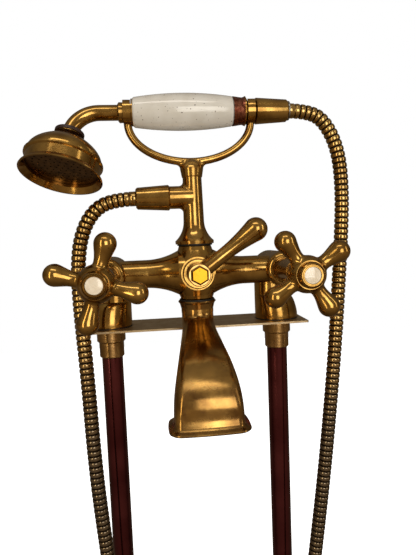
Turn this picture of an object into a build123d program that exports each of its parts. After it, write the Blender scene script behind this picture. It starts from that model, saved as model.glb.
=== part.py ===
from build123d import *
from math import asin, cos, pi, radians, sin, sqrt, tan
import os

# A freestanding bath mixer on two standpipes, with a hand shower in a cradle.
# Millimetres. The origin is on the floor, midway between the standpipes.
# +Z is up, +X is to the right of someone who faces the mixer, the spout points along -Y.
# "Forward" is a distance towards that person, from the standpipes. "Up" is a height above the
# top of the bridge plate. Diameters end in _d, radial gaps in _gap.

os.makedirs("parts", exist_ok=True)

# Fits
plain_gap = 0.1
running_gap = 0.08
seat_gap = 0.02

# Floor and standpipes
pipe_spacing = 180.0
pipe_d = 22.0
pipe_wall = 1.0
plate_top = 700.0
flange_d = 90.0
flange_rim = 4.0
flange_dish = 9.0
flange_socket_d = 34.0
flange_height = 46.0
flange_edge = 1.5
inlet_core_d = 18.6
inlet_depth = 16.0
screw_count = 4
screw_circle_d = 70.0
screw_hole_d = 5.5
screw_head_d = 10.5
flange_ring_up = 27.0
ring_section_d = 2.0
flange_grub_up = 38.0
flange_grub_d = 5.0
flange_grub_angle = 45.0

# Bridge plate and the fittings under it
plate_thickness = 2.0
plate_depth = 64.0
plate_overhang = 27.0
plate_corner = 1.5
gasket_thickness = 1.0
tail_d = 26.4
tail_length = 16.5
tail_stop = 0.5
locknut_d = 30.0
locknut_height = 14.0
nut_edge = 1.2
gland_d = 26.0
gland_height = 16.0
gland_spigot_d = 24.0
gland_spigot = 5.0
olive_height = 4.0

# Legs
leg_base_d = 45.7
leg_tube_d = 34.0
leg_offset = 6.0
leg_rise = 26.0
leg_bore_d = 16.0
leg_spigot_d = 24.0
leg_spigot = 8.6
leg_sections = 5

# Body: two arms, a hub and a valve chamber at each end
valve_up = 57.0
body_forward = 45.0
arm_d = 27.2
arm_flare_from = 46.0
hub_shoulder = 17.0
hub_shoulder_r = 21.5
hub_r = 22.3
seat_d = 31.0
seat_rise = 26.0
arm_bore_d = 11.0
arm_bore_shift = 4.0
chamber_nose_d = 26.0
chamber_nose = 6.0
chamber_front = 64.0
cartridge_d = 22.0
cartridge_seat = 41.0
nipple_d = 20.9
nipple_pocket = 12.0
nipple_bore_d = 15.0
port_d = 8.0
port_shift = 6.0
core_d = 22.0
core_back = 32.5
boss_d = 31.0
boss_front = 70.0

# Cartridges and cross handles, as forward distances on the valve axis
seal_thickness = 2.0
disc_d = 17.0
disc_thickness = 3.0
disc_port_r = 4.9
disc_port_d = 4.6
disc_chamber = 5.5
drive_lug = 2.8
drive_lug_depth = 1.4
drive_lug_in = 5.5
window_width = 9.0
shell_shoulder_d = 25.2
shell_shoulder = 3.0
bonnet_root_d = 23.0
bonnet_tip_d = 19.0
bonnet_end = 106.3
bonnet_cavity_d = 13.0
bush_length = 6.0
spindle_d = 10.0
spindle_head = 4.0
spindle_end = 132.5
handle_square = 6.4
square_clear = 0.3
handle_back = 102.0
handle_skirt_d = 22.4
handle_web = 133.0
handle_web_front = 136.0
handle_arm_plane = 132.5
handle_waist_d = 23.4
handle_hub_d = 30.4
handle_front = 141.5
handle_arm_reach = 32.2
handle_ball_d = 17.8
handle_arm_waist_d = 12.0
handle_arm_waist_at = 17.5
handle_arms = 4
handle_fillet = 3.0
left_handle_turn = -15.2
right_handle_turn = 33.3
screw_d = 4.0
handle_screw_head_d = 7.2
handle_screw_head = 2.4
handle_screw_length = 15.0
bezel_d = 21.6
bezel_step = 0.8
bezel_spigot_d = 16.0
bezel_spigot = 3.5
bezel_floor = 2.0
bezel_front = 147.0
bezel_hole_d = 9.0
index_d = 13.6
index_thickness = 3.2
index_dome = 0.6

# Diverter, as forward distances on the hub's front axis
core_waist_d = 13.0
core_window_d = 8.6
core_cavity_d = 8.0
core_rear = 11.0
core_waist_length = 12.5
core_land = 4.0
stem_d = 10.0
lever_square = 7.0
stem_end = 86.0
gland_plug_back = 60.5
gland_ring_d = 28.0
gland_ring = 4.0
lever_back = 75.0
lever_front = 88.4
lever_hub_d = 20.0
lever_reach = 65.8
lever_ball_d = 21.6
lever_root_d = 13.0
lever_straight = 28.0
lever_turn = 36.1
cap_flange_d = 20.5
cap_flange = 2.4
cap_hex = 15.2
cap_hex_height = 4.6
cap_hex_bevel = 1.5
cap_shank = 14.0
cap_shank_d = 5.0

# Riser, tee and spout collars
collar_d = 37.0
collar_lip = 3.0
union_seal_d = 34.0
union_seal = 1.4
riser_d = 20.0
riser_top = 148.0
riser_top_d = 18.2
riser_bore_d = 14.0
riser_flare = 18.0
tee_up = 129.5
tee_d = 21.6
tee_fillet = 4.0
tee_reach = 22.0
thread_d = 18.6
thread_length = 11.0
yoke_spigot_d = 15.0
yoke_spigot = 13.0
spout_bore_wall = 2.4
spout_neck_d = 31.4
spout_drop = 12.0

# Spout's sections: forward, up, tilt, half width, half depth, corner, crown of the sides
spout_stations = [
    (body_forward + 1.5, 12.0, 80.0, 15.5, 15.3, 6.0, 4.1),
    (body_forward + 12.0, 1.0, 47.0, 16.4, 14.4, 6.0, 3.8),
    (body_forward + 29.0, -8.0, 28.0, 19.0, 13.2, 6.0, 3.2),
    (body_forward + 48.0, -16.0, 26.0, 21.8, 12.8, 7.0, 2.6),
    (body_forward + 64.0, -24.8, 42.0, 24.6, 14.0, 8.0, 2.2),
    (body_forward + 76.6, -36.4, 76.0, 27.4, 16.4, 8.0, 1.9),
    (body_forward + 80.6, -47.5, 87.0, 28.6, 17.0, 7.2, 1.7),
    (body_forward + 81.5, -58.6, 90.0, 29.0, 17.4, 6.4, 1.5),
]
# Spout's rolled lip: drop below the last section, and flare beyond it
spout_lip = [
    (0.0, 0.0),
    (1.2, 0.25),
    (2.2, 0.8),
    (3.0, 1.6),
    (3.6, 2.6),
    (4.1, 3.6),
    (4.7, 4.5),
    (5.4, 4.9),
    (6.1, 4.7),
    (6.6, 4.0),
]

# Yoke
yoke_neck_d = 19.8
yoke_saddle_up = 163.0
yoke_half = 58.5
grip_up = 209.7
yoke_bar_d = 7.5
yoke_bowl = 36.6
yoke_fillet = 4.5
fork_thickness = 7.0
fork_side_gap = 0.4
fork_d = 24.6
yoke_grub_d = 4.0

# Hand shower
waist_d = 14.4
slot_gap = 0.3
collar_ring_d = 22.0
neck_d = 14.2
neck_collar = 1.4
neck_reach = 21.65
neck_bend_r = 28.0
neck_bend_angle = 80.1
neck_bore_d = 9.0
handset_roll = 19.7
grip_d = 34.1
grip_end_d = 27.4
grip_bore_d = 13.0
stem_tube_d = 12.0
stem_tube_bore_d = 9.0
ferrule_d = 27.4
ferrule_length = 10.7
end_cap_length = 2.4
end_cap_ring = 1.4
rose_d = 74.0
rose_height = 41.4
rose_band_d = 66.9
rose_wall = 1.6
rose_neck_d = 25.2
rose_shoulder = 11.9
rose_crown = 5.4
rose_flare = 1.3
rose_plate_up = 8.0
rose_plate_thickness = 1.2
rose_hole_d = 1.6
rose_hole_rings = 5
rose_hole_pitch = 5.2
rose_washer_d = 26.6
rose_washer_height = 3.0

# Hose and its fittings
hose_d = 14.0
hose_groove_d = 12.2
hose_bore_d = 9.6
hose_ribs = 190
liner_d = 9.2
liner_bore_d = 7.0
nut_wide_d = 24.4
nut_narrow_d = 20.8
nut_length = 32.5
nut_bevel = 1.5
nut_thread_depth = 16.0
nut_bore_d = 14.6
tail_flange_d = 18.0
tail_flange = 2.0
tail_tube_d = 12.0
tail_bore_d = 7.0
washer_thickness = 2.0
washer_bore_d = 10.0

# Worked out from the sizes above
valve_spacing = pipe_spacing - 2 * leg_offset
valve_z = plate_top + valve_up
pipe_top = plate_top - tail_stop
under_plate = plate_top - plate_thickness
tail_bottom = plate_top - plate_thickness - locknut_height - tail_stop
chamber_back = body_forward - leg_tube_d / 2
seat_top = valve_up + seat_rise
seat_bottom = valve_up - seat_rise
grip_z = plate_top + grip_up
core_mid = core_back + 0.5 + core_rear
moving_disc_back = cartridge_seat + seal_thickness + disc_thickness
spindle_back = moving_disc_back + disc_thickness
fork_face = yoke_half - fork_thickness / 2 - fork_side_gap
fork_back = yoke_half + fork_thickness / 2 + fork_side_gap
grip_start = -(fork_face - neck_collar)
ferrule_end = fork_face - end_cap_length
grip_end = ferrule_end - ferrule_length
neck_straight = fork_back + neck_reach

# Hose route: (to the right, forward, up) by hand, from the tee's nut to the hand shower's nut.
tee_nut_end = tee_reach + nut_length
grip_nut_end = fork_back + plain_gap + nut_length
hose_route = [
    (-tee_nut_end, 45.0, tee_up),
    (-tee_nut_end - 27.0, 45.0, tee_up),
    (-tee_nut_end - 50.3, 45.3, tee_up - 13.7),
    (-tee_nut_end - 63.4, 46.0, tee_up - 37.3),
    (-117.6, 47.2, 47.5),
    (-115.2, 48.6, -18.0),
    (-111.9, 49.8, -84.0),
    (-107.4, 50.7, -153.0),
    (-101.6, 51.2, -224.0),
    (-94.0, 51.3, -292.0),
    (-83.6, 50.8, -348.0),
    (-64.5, 50.0, -398.0),
    (-29.0, 49.0, -434.0),
    (19.0, 48.2, -446.0),
    (63.5, 47.8, -428.0),
    (91.0, 47.8, -388.0),
    (102.8, 48.0, -332.0),
    (112.8, 48.3, -268.0),
    (122.5, 48.4, -200.0),
    (131.2, 48.3, -130.0),
    (138.8, 48.0, -62.0),
    (145.3, 47.4, 4.0),
    (150.9, 46.7, 68.0),
    (155.3, 46.0, 122.0),
    (grip_nut_end + 62.6, 45.4, grip_up - 37.9),
    (grip_nut_end + 50.2, 45.1, grip_up - 13.9),
    (grip_nut_end + 27.0, 45.0, grip_up),
    (grip_nut_end, 45.0, grip_up),
]

pieces = {}


def keep(name, *solids):
    """Store a piece, or a group of identical pieces, under its name."""
    pieces[name] = solids[0] if len(solids) == 1 else Compound(children=list(solids))


def turned(*corners):
    """Solid of revolution about Z from the (radius, height) corners of its outline."""
    return revolve(Plane.XZ * make_face(Polyline(*corners, close=True)), Axis.Z)


def turned_curves(*curves):
    """Solid of revolution about Z from the lines and arcs of its outline."""
    return revolve(Plane.XZ * make_face(Curve() + list(curves)), Axis.Z)


def ring(outer_d, inner_d, low, high):
    """Plain ring about Z."""
    return turned((inner_d / 2, low), (outer_d / 2, low), (outer_d / 2, high), (inner_d / 2, high))


def rod(diameter, low, high):
    """Plain rod about Z."""
    return turned((0, low), (diameter / 2, low), (diameter / 2, high), (0, high))


def square_bar(side, low, high):
    """Square bar about Z."""
    return Pos(0, 0, (low + high) / 2) * Box(side, side, high - low)


def seal_ring(centre_d, section_d, height):
    """Rubber ring of round section about Z."""
    return Pos(0, 0, height) * Torus(centre_d / 2, section_d / 2)


def forwards(x, up):
    """Place that turns +Z towards the user, so that heights become forward distances."""
    return Pos(x, 0, plate_top + up) * Rot(90, 0, 0)


def rightwards(forward, up):
    """Place that turns +Z to the right, so that heights become distances along X."""
    return Pos(0, -forward, plate_top + up) * Rot(0, 90, 0)


def upright(x, forward, z=0.0):
    """Place that keeps +Z up."""
    return Pos(x, -forward, z)


def floor_flange(x):
    """Flange that is screwed to the floor and takes the supply and the foot of a standpipe."""
    core_r = inlet_core_d / 2
    socket_r = flange_socket_d / 2
    bore_r = pipe_d / 2 + plain_gap
    shape = turned(
        (core_r, 0),
        (flange_d / 2, 0),
        (flange_d / 2, flange_rim),
        (flange_d / 2 - 2, flange_rim + 1.5),
        (socket_r + 5, flange_dish),
        (socket_r, flange_dish + 6),
        (socket_r, flange_height - flange_edge),
        (socket_r - flange_edge, flange_height),
        (bore_r, flange_height),
        (bore_r, inlet_depth),
        (core_r, inlet_depth),
    )
    head = Cone(screw_hole_d / 2, screw_head_d / 2 + 4, screw_head_d / 2 - screw_hole_d / 2 + 4)
    for number in range(screw_count):
        angle = 90 + number * 360 / screw_count
        place = Rot(0, 0, angle) * Pos(screw_circle_d / 2, 0, 0)
        shape -= place * Pos(0, 0, flange_dish) * Cylinder(screw_hole_d / 2, 4 * flange_dish)
        shape -= place * Pos(0, 0, flange_rim - 1 + head.bounding_box().size.Z / 2) * head
    groove_d = pipe_d + 2 * plain_gap + 2 * ring_section_d
    shape -= ring(groove_d, pipe_d, flange_ring_up - 1.4, flange_ring_up + 1.4)
    for angle in (90 - flange_grub_angle, 90 + flange_grub_angle):
        bore = rod(flange_grub_d + 2 * seat_gap, bore_r - 0.5, flange_socket_d)
        shape -= Pos(0, 0, flange_grub_up) * Rot(0, 0, angle) * Rot(0, 90, 0) * bore
    return upright(x, 0) * shape


def flange_grub_screws(x):
    """The two grub screws that grip a standpipe in its flange."""
    tip = pipe_d / 2 + seat_gap
    length = flange_socket_d / 2 - tip - 0.4
    key = extrude(RegularPolygon(1.25, 6, major_radius=False), 2.5)
    screw = rod(flange_grub_d, tip, tip + length) - Pos(0, 0, tip + length - 2.5) * key
    places = [Rot(0, 0, 90 + side * flange_grub_angle) for side in (-1, 1)]
    return [
        upright(x, 0, flange_grub_up) * place * Rot(0, 90, 0) * screw for place in places
    ]


def standpipe(x):
    """Copper pipe from the floor flange into the leg's threaded tail."""
    return upright(x, 0) * ring(pipe_d, pipe_d - 2 * pipe_wall, inlet_depth, pipe_top)


def bridge_plate():
    """Flat brass strip that ties the two legs together, clamped under them."""
    length = pipe_spacing + 2 * plate_overhang
    shape = extrude(RectangleRounded(length, plate_depth, plate_corner), plate_thickness)
    for x in (-pipe_spacing / 2, pipe_spacing / 2):
        shape -= Pos(x, 0, 0) * Cylinder(tail_d / 2 + 2 * plain_gap, 3 * plate_thickness)
    return Pos(0, 0, under_plate) * shape


def locknut(x):
    """Round nut that pulls a leg down on the plate."""
    r = locknut_d / 2
    low = under_plate - locknut_height
    return upright(x, 0) * turned(
        (tail_d / 2 + plain_gap, low),
        (r - nut_edge, low),
        (r, low + nut_edge),
        (r, under_plate),
        (tail_d / 2 + plain_gap, under_plate),
    )


def gland_nut(x):
    """Nut under the plate that squeezes the olive on the standpipe."""
    r = gland_d / 2
    top = tail_bottom
    return upright(x, 0) * turned(
        (pipe_d / 2 + plain_gap, top - gland_height),
        (r - nut_edge, top - gland_height),
        (r, top - gland_height + nut_edge),
        (r, top),
        (gland_spigot_d / 2, top),
        (gland_spigot_d / 2, top + gland_spigot),
        (pipe_d / 2 + plain_gap, top + gland_spigot),
    )


def pipe_olive(x):
    """Brass compression ring round the top of a standpipe."""
    low = tail_bottom + gland_spigot
    inner = pipe_d / 2 + plain_gap / 2
    outer = gland_spigot_d / 2
    return upright(x, 0) * turned(
        (inner, low),
        (outer - 0.4, low),
        (outer, low + olive_height / 2),
        (outer - 0.4, low + olive_height),
        (inner, low + olive_height),
    )


def leg_gasket(x):
    """Black rubber washer between a leg and the plate."""
    return upright(x, 0) * ring(
        leg_base_d - 1, tail_d + 4 * plain_gap, plate_top, plate_top + gasket_thickness
    )


def leg_foot_section(side, turn):
    """Circle of the leg's foot. It narrows from the base to the tube, on the outer side only."""
    base_r = leg_base_d / 2
    tube_r = leg_tube_d / 2
    inner = pipe_spacing / 2 - base_r + (leg_rise_lean() * sin(turn))
    outer_tube = valve_spacing / 2 + tube_r
    outer = outer_tube + (pipe_spacing / 2 + base_r - outer_tube) * cos(turn)
    height = plate_top + gasket_thickness + leg_rise * sin(turn)
    return Pos(side * (inner + outer) / 2, 0, height) * Circle((outer - inner) / 2)


def leg_rise_lean():
    """How far the inner side of the foot moves outwards over its height."""
    return (valve_spacing - leg_tube_d) / 2 - (pipe_spacing - leg_base_d) / 2


def leg(side):
    """Offset elbow from the plate up to the back of a valve chamber."""
    pipe_x = side * pipe_spacing / 2
    valve_x = side * valve_spacing / 2
    foot_top = plate_top + gasket_thickness + leg_rise
    turns = [i * pi / 2 / (leg_sections - 1) for i in range(leg_sections)]
    shape = loft([leg_foot_section(side, turn) for turn in turns])
    shape += upright(valve_x, 0) * rod(leg_tube_d, foot_top, valve_z)
    shape += Pos(valve_x, 0, valve_z) * Sphere(leg_tube_d / 2)
    shape += forwards(valve_x, valve_up) * rod(leg_tube_d, 0, chamber_back)
    shape += forwards(valve_x, valve_up) * rod(leg_spigot_d, 0, chamber_back + leg_spigot)
    shape += upright(pipe_x, 0) * rod(tail_d, tail_bottom, plate_top + 2 * gasket_thickness)
    shape -= upright(pipe_x, 0) * rod(pipe_d + 2 * plain_gap, tail_bottom, pipe_top)
    spigot_room = gland_spigot_d + 2 * plain_gap
    room_top = tail_bottom + gland_spigot + olive_height + plain_gap
    shape -= upright(pipe_x, 0) * rod(spigot_room, tail_bottom, room_top)
    shape -= upright(pipe_x, 0) * rod(leg_bore_d, pipe_top - 1, foot_top)
    shape -= upright(valve_x, 0) * rod(leg_bore_d, plate_top + leg_rise - leg_bore_d, valve_z)
    shape -= Pos(valve_x, 0, valve_z) * Sphere(leg_bore_d / 2)
    shape -= forwards(valve_x, valve_up) * rod(leg_bore_d, 0, chamber_back + 2 * leg_spigot)
    groove = ring(leg_spigot_d + 1, leg_spigot_d - 2 * ring_section_d, -1.3, 1.3)
    shape -= forwards(valve_x, valve_up) * Pos(0, 0, chamber_back + leg_spigot / 2) * groove
    return shape


def leg_ring(side):
    """Rubber ring on the spigot between a leg and the body."""
    centre_d = leg_spigot_d - ring_section_d + plain_gap
    return forwards(side * valve_spacing / 2, valve_up) * seal_ring(
        centre_d, ring_section_d - plain_gap, chamber_back + leg_spigot / 2
    )


def valve_chamber(x):
    """Outside of a valve chamber, with its rounded nose."""
    r = leg_tube_d / 2
    nose_r = chamber_nose_d / 2
    shoulder = chamber_front - chamber_nose
    return forwards(x, valve_up) * turned_curves(
        Polyline((0, chamber_front), (0, chamber_back), (r, chamber_back), (r, shoulder)),
        ThreePointArc(
            (r, shoulder),
            (nose_r + (r - nose_r) * 0.72, shoulder + chamber_nose * 0.70),
            (nose_r, chamber_front),
        ),
        Line((nose_r, chamber_front), (0, chamber_front)),
    )


def flared_bar(straight_r, straight_from, end):
    """Half bar about Z that flares into the hub's shoulder, from the centre to its end."""
    shoulder = (hub_shoulder_r, hub_shoulder)
    middle_height = (hub_shoulder + straight_from) / 2
    middle_r = straight_r + (hub_shoulder_r - straight_r) * 0.27
    return turned_curves(
        Line((0, 0), (hub_r, 0)),
        Line((hub_r, 0), shoulder),
        ThreePointArc(shoulder, (middle_r, middle_height), (straight_r, straight_from)),
        Line((straight_r, straight_from), (straight_r, end)),
        Line((straight_r, end), (0, end)),
        Line((0, end), (0, 0)),
    )


def hub_half():
    """Half of the upright part of the hub about Z, up to its seat."""
    seat_r = seat_d / 2
    top_r = hub_shoulder
    return turned_curves(
        Line((0, 0), (hub_r, 0)),
        Line((hub_r, 0), (hub_shoulder_r, hub_r / 2)),
        ThreePointArc(
            (hub_shoulder_r, hub_r / 2),
            (top_r + 2.2, (hub_r / 2 + hub_shoulder_r) / 2 + 0.5),
            (top_r, hub_shoulder_r),
        ),
        Line((top_r, hub_shoulder_r), (seat_r, seat_rise)),
        Line((seat_r, seat_rise), (0, seat_rise)),
        Line((0, seat_rise), (0, 0)),
    )


def mixer_body():
    """Cast body: hub, arms and valve chambers in one piece, with its waterways."""
    centre = Pos(0, -body_forward, valve_z)
    half_arm = flared_bar(arm_d / 2, arm_flare_from, valve_spacing / 2)
    shape = centre * Rot(0, 90, 0) * half_arm
    shape += centre * Rot(0, -90, 0) * half_arm
    shape += centre * hub_half()
    shape += centre * Rot(180, 0, 0) * hub_half()
    shape += forwards(0, valve_up) * rod(boss_d, body_forward, boss_front)
    for side in (-1, 1):
        shape += valve_chamber(side * valve_spacing / 2)
    for side in (-1, 1):
        valve = forwards(side * valve_spacing / 2, valve_up)
        spigot_end = chamber_back + leg_spigot + 0.2
        shape -= valve * rod(leg_spigot_d + 2 * plain_gap, chamber_back, spigot_end)
        shape -= valve * rod(leg_bore_d, spigot_end, cartridge_seat)
        shape -= valve * rod(cartridge_d, cartridge_seat, chamber_front)
    arm_hole = rod(arm_bore_d, -valve_spacing / 2, valve_spacing / 2)
    shape -= rightwards(body_forward + arm_bore_shift, valve_up) * arm_hole
    shape -= forwards(0, valve_up) * rod(core_d, core_back, boss_front)
    for turn in (0, 180):
        half = centre * Rot(turn, 0, 0)
        shape -= half * rod(nipple_d, seat_rise - nipple_pocket, seat_rise)
    ports = rod(port_d, -seat_rise + nipple_pocket, seat_rise - nipple_pocket)
    shape -= upright(0, body_forward - port_shift, valve_z) * ports
    return shape


def union_nipple(turn):
    """Threaded tube that joins the hub to the riser or to the spout."""
    reach = nipple_pocket - 0.5
    low = seat_rise - reach
    high = seat_rise + union_seal + reach
    shape = ring(nipple_d - 2 * plain_gap, nipple_bore_d, low, high)
    return Pos(0, -body_forward, valve_z) * Rot(turn, 0, 0) * shape


def union_washer(turn):
    """Black washer between the hub and a collar."""
    shape = ring(union_seal_d, nipple_d + 4 * plain_gap, seat_rise, seat_rise + union_seal)
    return Pos(0, -body_forward, valve_z) * Rot(turn, 0, 0) * shape


def is_tee_corner(edge):
    """Tell whether an edge is where the tee's outlet leaves the riser."""
    centre = edge.center()
    near = abs(centre.Z - plate_top - tee_up) < tee_d * 0.6
    return edge.geom_type != GeomType.LINE and near and -tee_d * 0.56 < centre.X < -0.5


def riser_tee():
    """Riser with its flared collar, the side outlet for the hose and a spigot for the yoke."""
    low = seat_top + union_seal
    tube_r = riser_d / 2
    collar_r = collar_d / 2
    flare_top = low + collar_lip + riser_flare
    outline = turned_curves(
        Polyline((0, low), (collar_r, low), (collar_r + 0.3, low + collar_lip)),
        ThreePointArc(
            (collar_r + 0.3, low + collar_lip),
            (tube_r + (collar_r - tube_r) * 0.33, low + collar_lip + riser_flare * 0.42),
            (tube_r, flare_top),
        ),
        Polyline(
            (tube_r, flare_top),
            (riser_top_d / 2, riser_top),
            (yoke_spigot_d / 2, riser_top),
            (yoke_spigot_d / 2, riser_top + yoke_spigot),
            (0, riser_top + yoke_spigot),
            (0, low),
        ),
    )
    shape = upright(0, body_forward, plate_top) * outline
    outlet = rightwards(body_forward, tee_up)
    shape += outlet * rod(tee_d, -tee_reach, 0)
    corner = [edge for edge in shape.edges() if is_tee_corner(edge)]
    shape = fillet(corner, tee_fillet)
    shape += outlet * rod(thread_d, -tee_reach - thread_length, 0)
    shape -= upright(0, body_forward, plate_top) * rod(nipple_d, low, low + nipple_pocket)
    shape -= upright(0, body_forward, plate_top) * rod(riser_bore_d, low, tee_up)
    shape -= upright(0, body_forward, plate_top + tee_up) * Sphere(riser_bore_d / 2)
    shape -= outlet * rod(washer_bore_d, -tee_reach - thread_length, 0)
    return shape


def spout_section(forward, up, tilt, half_width, half_depth, corner, crown, inset=0.0):
    """Outline across the spout: four crowned sides with rounded corners.

    Tilt is 90 where the water falls straight down.
    """
    down = (0, -cos(radians(tilt)), -sin(radians(tilt)))
    plane = Plane(origin=(0, -forward, plate_top + up), x_dir=(1, 0, 0), z_dir=down)
    x, y = half_width - inset, half_depth - inset
    far_x, far_y = x - crown, y - crown
    outline = make_face(
        [
            ThreePointArc((-far_x, -far_y), (0, -y), (far_x, -far_y)),
            ThreePointArc((far_x, -far_y), (x, 0), (far_x, far_y)),
            ThreePointArc((far_x, far_y), (0, y), (-far_x, far_y)),
            ThreePointArc((-far_x, far_y), (-x, 0), (-far_x, -far_y)),
        ]
    )
    return plane * fillet(outline.vertices(), corner - inset * 0.6)


def spout():
    """Wide hooded spout under the hub, with its collar, hollow and open at the rolled lip."""
    top = seat_bottom - union_seal
    neck_r = spout_neck_d / 2
    bore_r = neck_r - spout_bore_wall - 3
    start = (body_forward, top - spout_drop, 90.0)
    outer = [spout_section(*start, neck_r * 0.985, neck_r * 0.985, 6.0, neck_r * 0.28)]
    inner = [spout_section(*start, bore_r, bore_r, 5.0, bore_r * 0.285)]
    for station in spout_stations:
        outer.append(spout_section(*station))
        inner.append(spout_section(*station, inset=spout_bore_wall))
    forward, up, tilt, half_width, half_depth, corner, crown = spout_stations[-1]
    shape = loft(outer)
    lip = [
        spout_section(
            forward, up - drop, tilt, half_width + flare, half_depth + flare, corner + flare, crown
        )
        for drop, flare in spout_lip
    ]
    shape += loft(lip, ruled=True)
    shape -= loft(inner)
    low = up - spout_lip[-1][0]
    mouth = [
        spout_section(*spout_stations[-1], inset=spout_bore_wall),
        spout_section(forward, low, tilt, half_width + 0.4, half_depth + 0.4, corner, crown),
    ]
    shape -= loft(mouth, ruled=True)
    collar = turned(
        (0, top - spout_drop),
        (neck_r, top - spout_drop),
        (neck_r, top - 8.0),
        (collar_d / 2 - 1.5, top - collar_lip),
        (collar_d / 2, top - 1.2),
        (collar_d / 2 - 0.6, top),
        (0, top),
    )
    shape += upright(0, body_forward, plate_top) * collar
    bore = rod(nipple_d, top - nipple_pocket, top)
    shape -= upright(0, body_forward, plate_top) * bore
    return shape


def is_yoke_corner(edge):
    """Tell whether an edge is where the yoke's bowl leaves its neck."""
    centre = edge.center()
    high = centre.Z > plate_top + riser_top + 3 and abs(centre.X) < yoke_neck_d
    return high and edge.length > 3 and edge.geom_type not in (GeomType.CIRCLE, GeomType.LINE)


def yoke():
    """Cradle: a domed neck, a bar bent into a bowl, and an open fork at each end."""
    neck_r = yoke_neck_d / 2
    shoulder = (neck_r + 1.2, riser_top + 8)
    crown = (0, yoke_saddle_up + 2.5)
    neck = turned_curves(
        Polyline(crown, (0, riser_top), (neck_r - 0.5, riser_top), (neck_r, riser_top + 0.8)),
        Line((neck_r, riser_top + 0.8), shoulder),
        ThreePointArc(shoulder, (neck_r * 0.8, yoke_saddle_up - 1.5), crown),
    )
    shape = upright(0, body_forward, plate_top) * neck
    middle = (0, -body_forward, plate_top + yoke_saddle_up + yoke_bowl)
    route = Plane(origin=middle, x_dir=(1, 0, 0), z_dir=(0, -1, 0)) * EllipticalCenterArc(
        (0, 0), yoke_half, yoke_bowl, start_angle=180, arc_size=180
    )
    bar = Plane(origin=route @ 0, z_dir=route % 0) * Rot(0, 0, 45) * Circle(yoke_bar_d / 2)
    shape += sweep(bar, path=route)
    corner = [edge for edge in shape.edges() if is_yoke_corner(edge)]
    shape = fillet(corner, yoke_fillet)
    for side in (-1, 1):
        shape += rightwards(body_forward, grip_up) * rod(
            fork_d, side * yoke_half - fork_thickness / 2, side * yoke_half + fork_thickness / 2
        )
    socket = rod(yoke_spigot_d + 2 * plain_gap, riser_top, riser_top + yoke_spigot + 0.2)
    shape -= upright(0, body_forward, plate_top) * socket
    grub = rod(yoke_grub_d + 2 * seat_gap, 0, 2 * yoke_neck_d)
    shape -= upright(0, body_forward, plate_top + riser_top + 5) * Rot(-90, 0, 0) * grub
    slot_r = waist_d / 2 + slot_gap
    slot_height = fork_d
    for side in (-1, 1):
        seat = rightwards(body_forward, grip_up) * Pos(0, 0, side * yoke_half)
        shape -= seat * Cylinder(slot_r, 2 * fork_thickness)
        channel = Box(2 * fork_thickness, 2 * slot_r, slot_height)
        shape -= Pos(side * yoke_half, -body_forward, grip_z + slot_height / 2) * channel
    return shape


def yoke_grub_screw():
    """Grub screw at the back of the yoke's neck that locks it on the riser."""
    tip = yoke_spigot_d / 2 + seat_gap
    head = yoke_neck_d / 2 + 0.2
    screw = rod(yoke_grub_d, tip, head)
    screw -= Pos(0, 0, head - 1.2) * extrude(RegularPolygon(1.0, 6, major_radius=False), 2)
    return upright(0, body_forward, plate_top + riser_top + 5) * Rot(-90, 0, 0) * screw


def cartridge_seal(x):
    """Rubber ring that presses the fixed disc against its seat."""
    return forwards(x, valve_up) * ring(
        cartridge_d - 4 * plain_gap, disc_d - 4, cartridge_seat, cartridge_seat + seal_thickness
    )


def disc_with_ports(low, turn):
    """Ceramic disc with two round ports."""
    shape = rod(disc_d - 2 * plain_gap, low, low + disc_thickness)
    for side in (-1, 1):
        port = Pos(side * disc_port_r, 0, low + disc_thickness / 2)
        shape -= Rot(0, 0, turn) * port * Cylinder(disc_port_d / 2, 2 * disc_thickness)
    return shape


def moving_disc(x):
    """Upper ceramic disc, with two slots for the lugs of the spindle."""
    shape = disc_with_ports(moving_disc_back, 90)
    slot_depth = drive_lug_depth + plain_gap
    for side in (-1, 1):
        slot = Box(disc_d, drive_lug + 2 * plain_gap, slot_depth)
        at = side * (disc_d / 2 + drive_lug_in)
        shape -= Pos(at, 0, spindle_back - slot_depth / 2) * slot
    return forwards(x, valve_up) * shape


def cartridge_shell(x):
    """Headwork: ported cage, shoulder and the long tapered bonnet over the spindle."""
    back = cartridge_seat + seal_thickness
    cage_end = moving_disc_back + disc_thickness + disc_chamber
    shoulder = chamber_front + shell_shoulder
    bore_r = spindle_d / 2 + running_gap
    cage_r = cartridge_d / 2 - plain_gap
    shape = turned(
        (disc_d / 2, back),
        (cage_r, back),
        (cage_r, chamber_front),
        (shell_shoulder_d / 2, chamber_front),
        (shell_shoulder_d / 2, shoulder - 0.6),
        (shell_shoulder_d / 2 - 0.6, shoulder),
        (bonnet_root_d / 2, shoulder),
        (bonnet_tip_d / 2, bonnet_end - 1.0),
        (bonnet_tip_d / 2 - 1.0, bonnet_end),
        (bore_r, bonnet_end),
        (bore_r, bonnet_end - bush_length),
        (bonnet_cavity_d / 2, bonnet_end - bush_length - 1),
        (bonnet_cavity_d / 2, shoulder + 2),
        (bore_r, shoulder + 1),
        (bore_r, cage_end),
        (disc_d / 2, cage_end),
    )
    window = Pos(0, 0, (spindle_back + cage_end) / 2) * Box(
        2 * cartridge_d, window_width, cage_end - spindle_back
    )
    return forwards(x, valve_up) * (shape - window)


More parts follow.
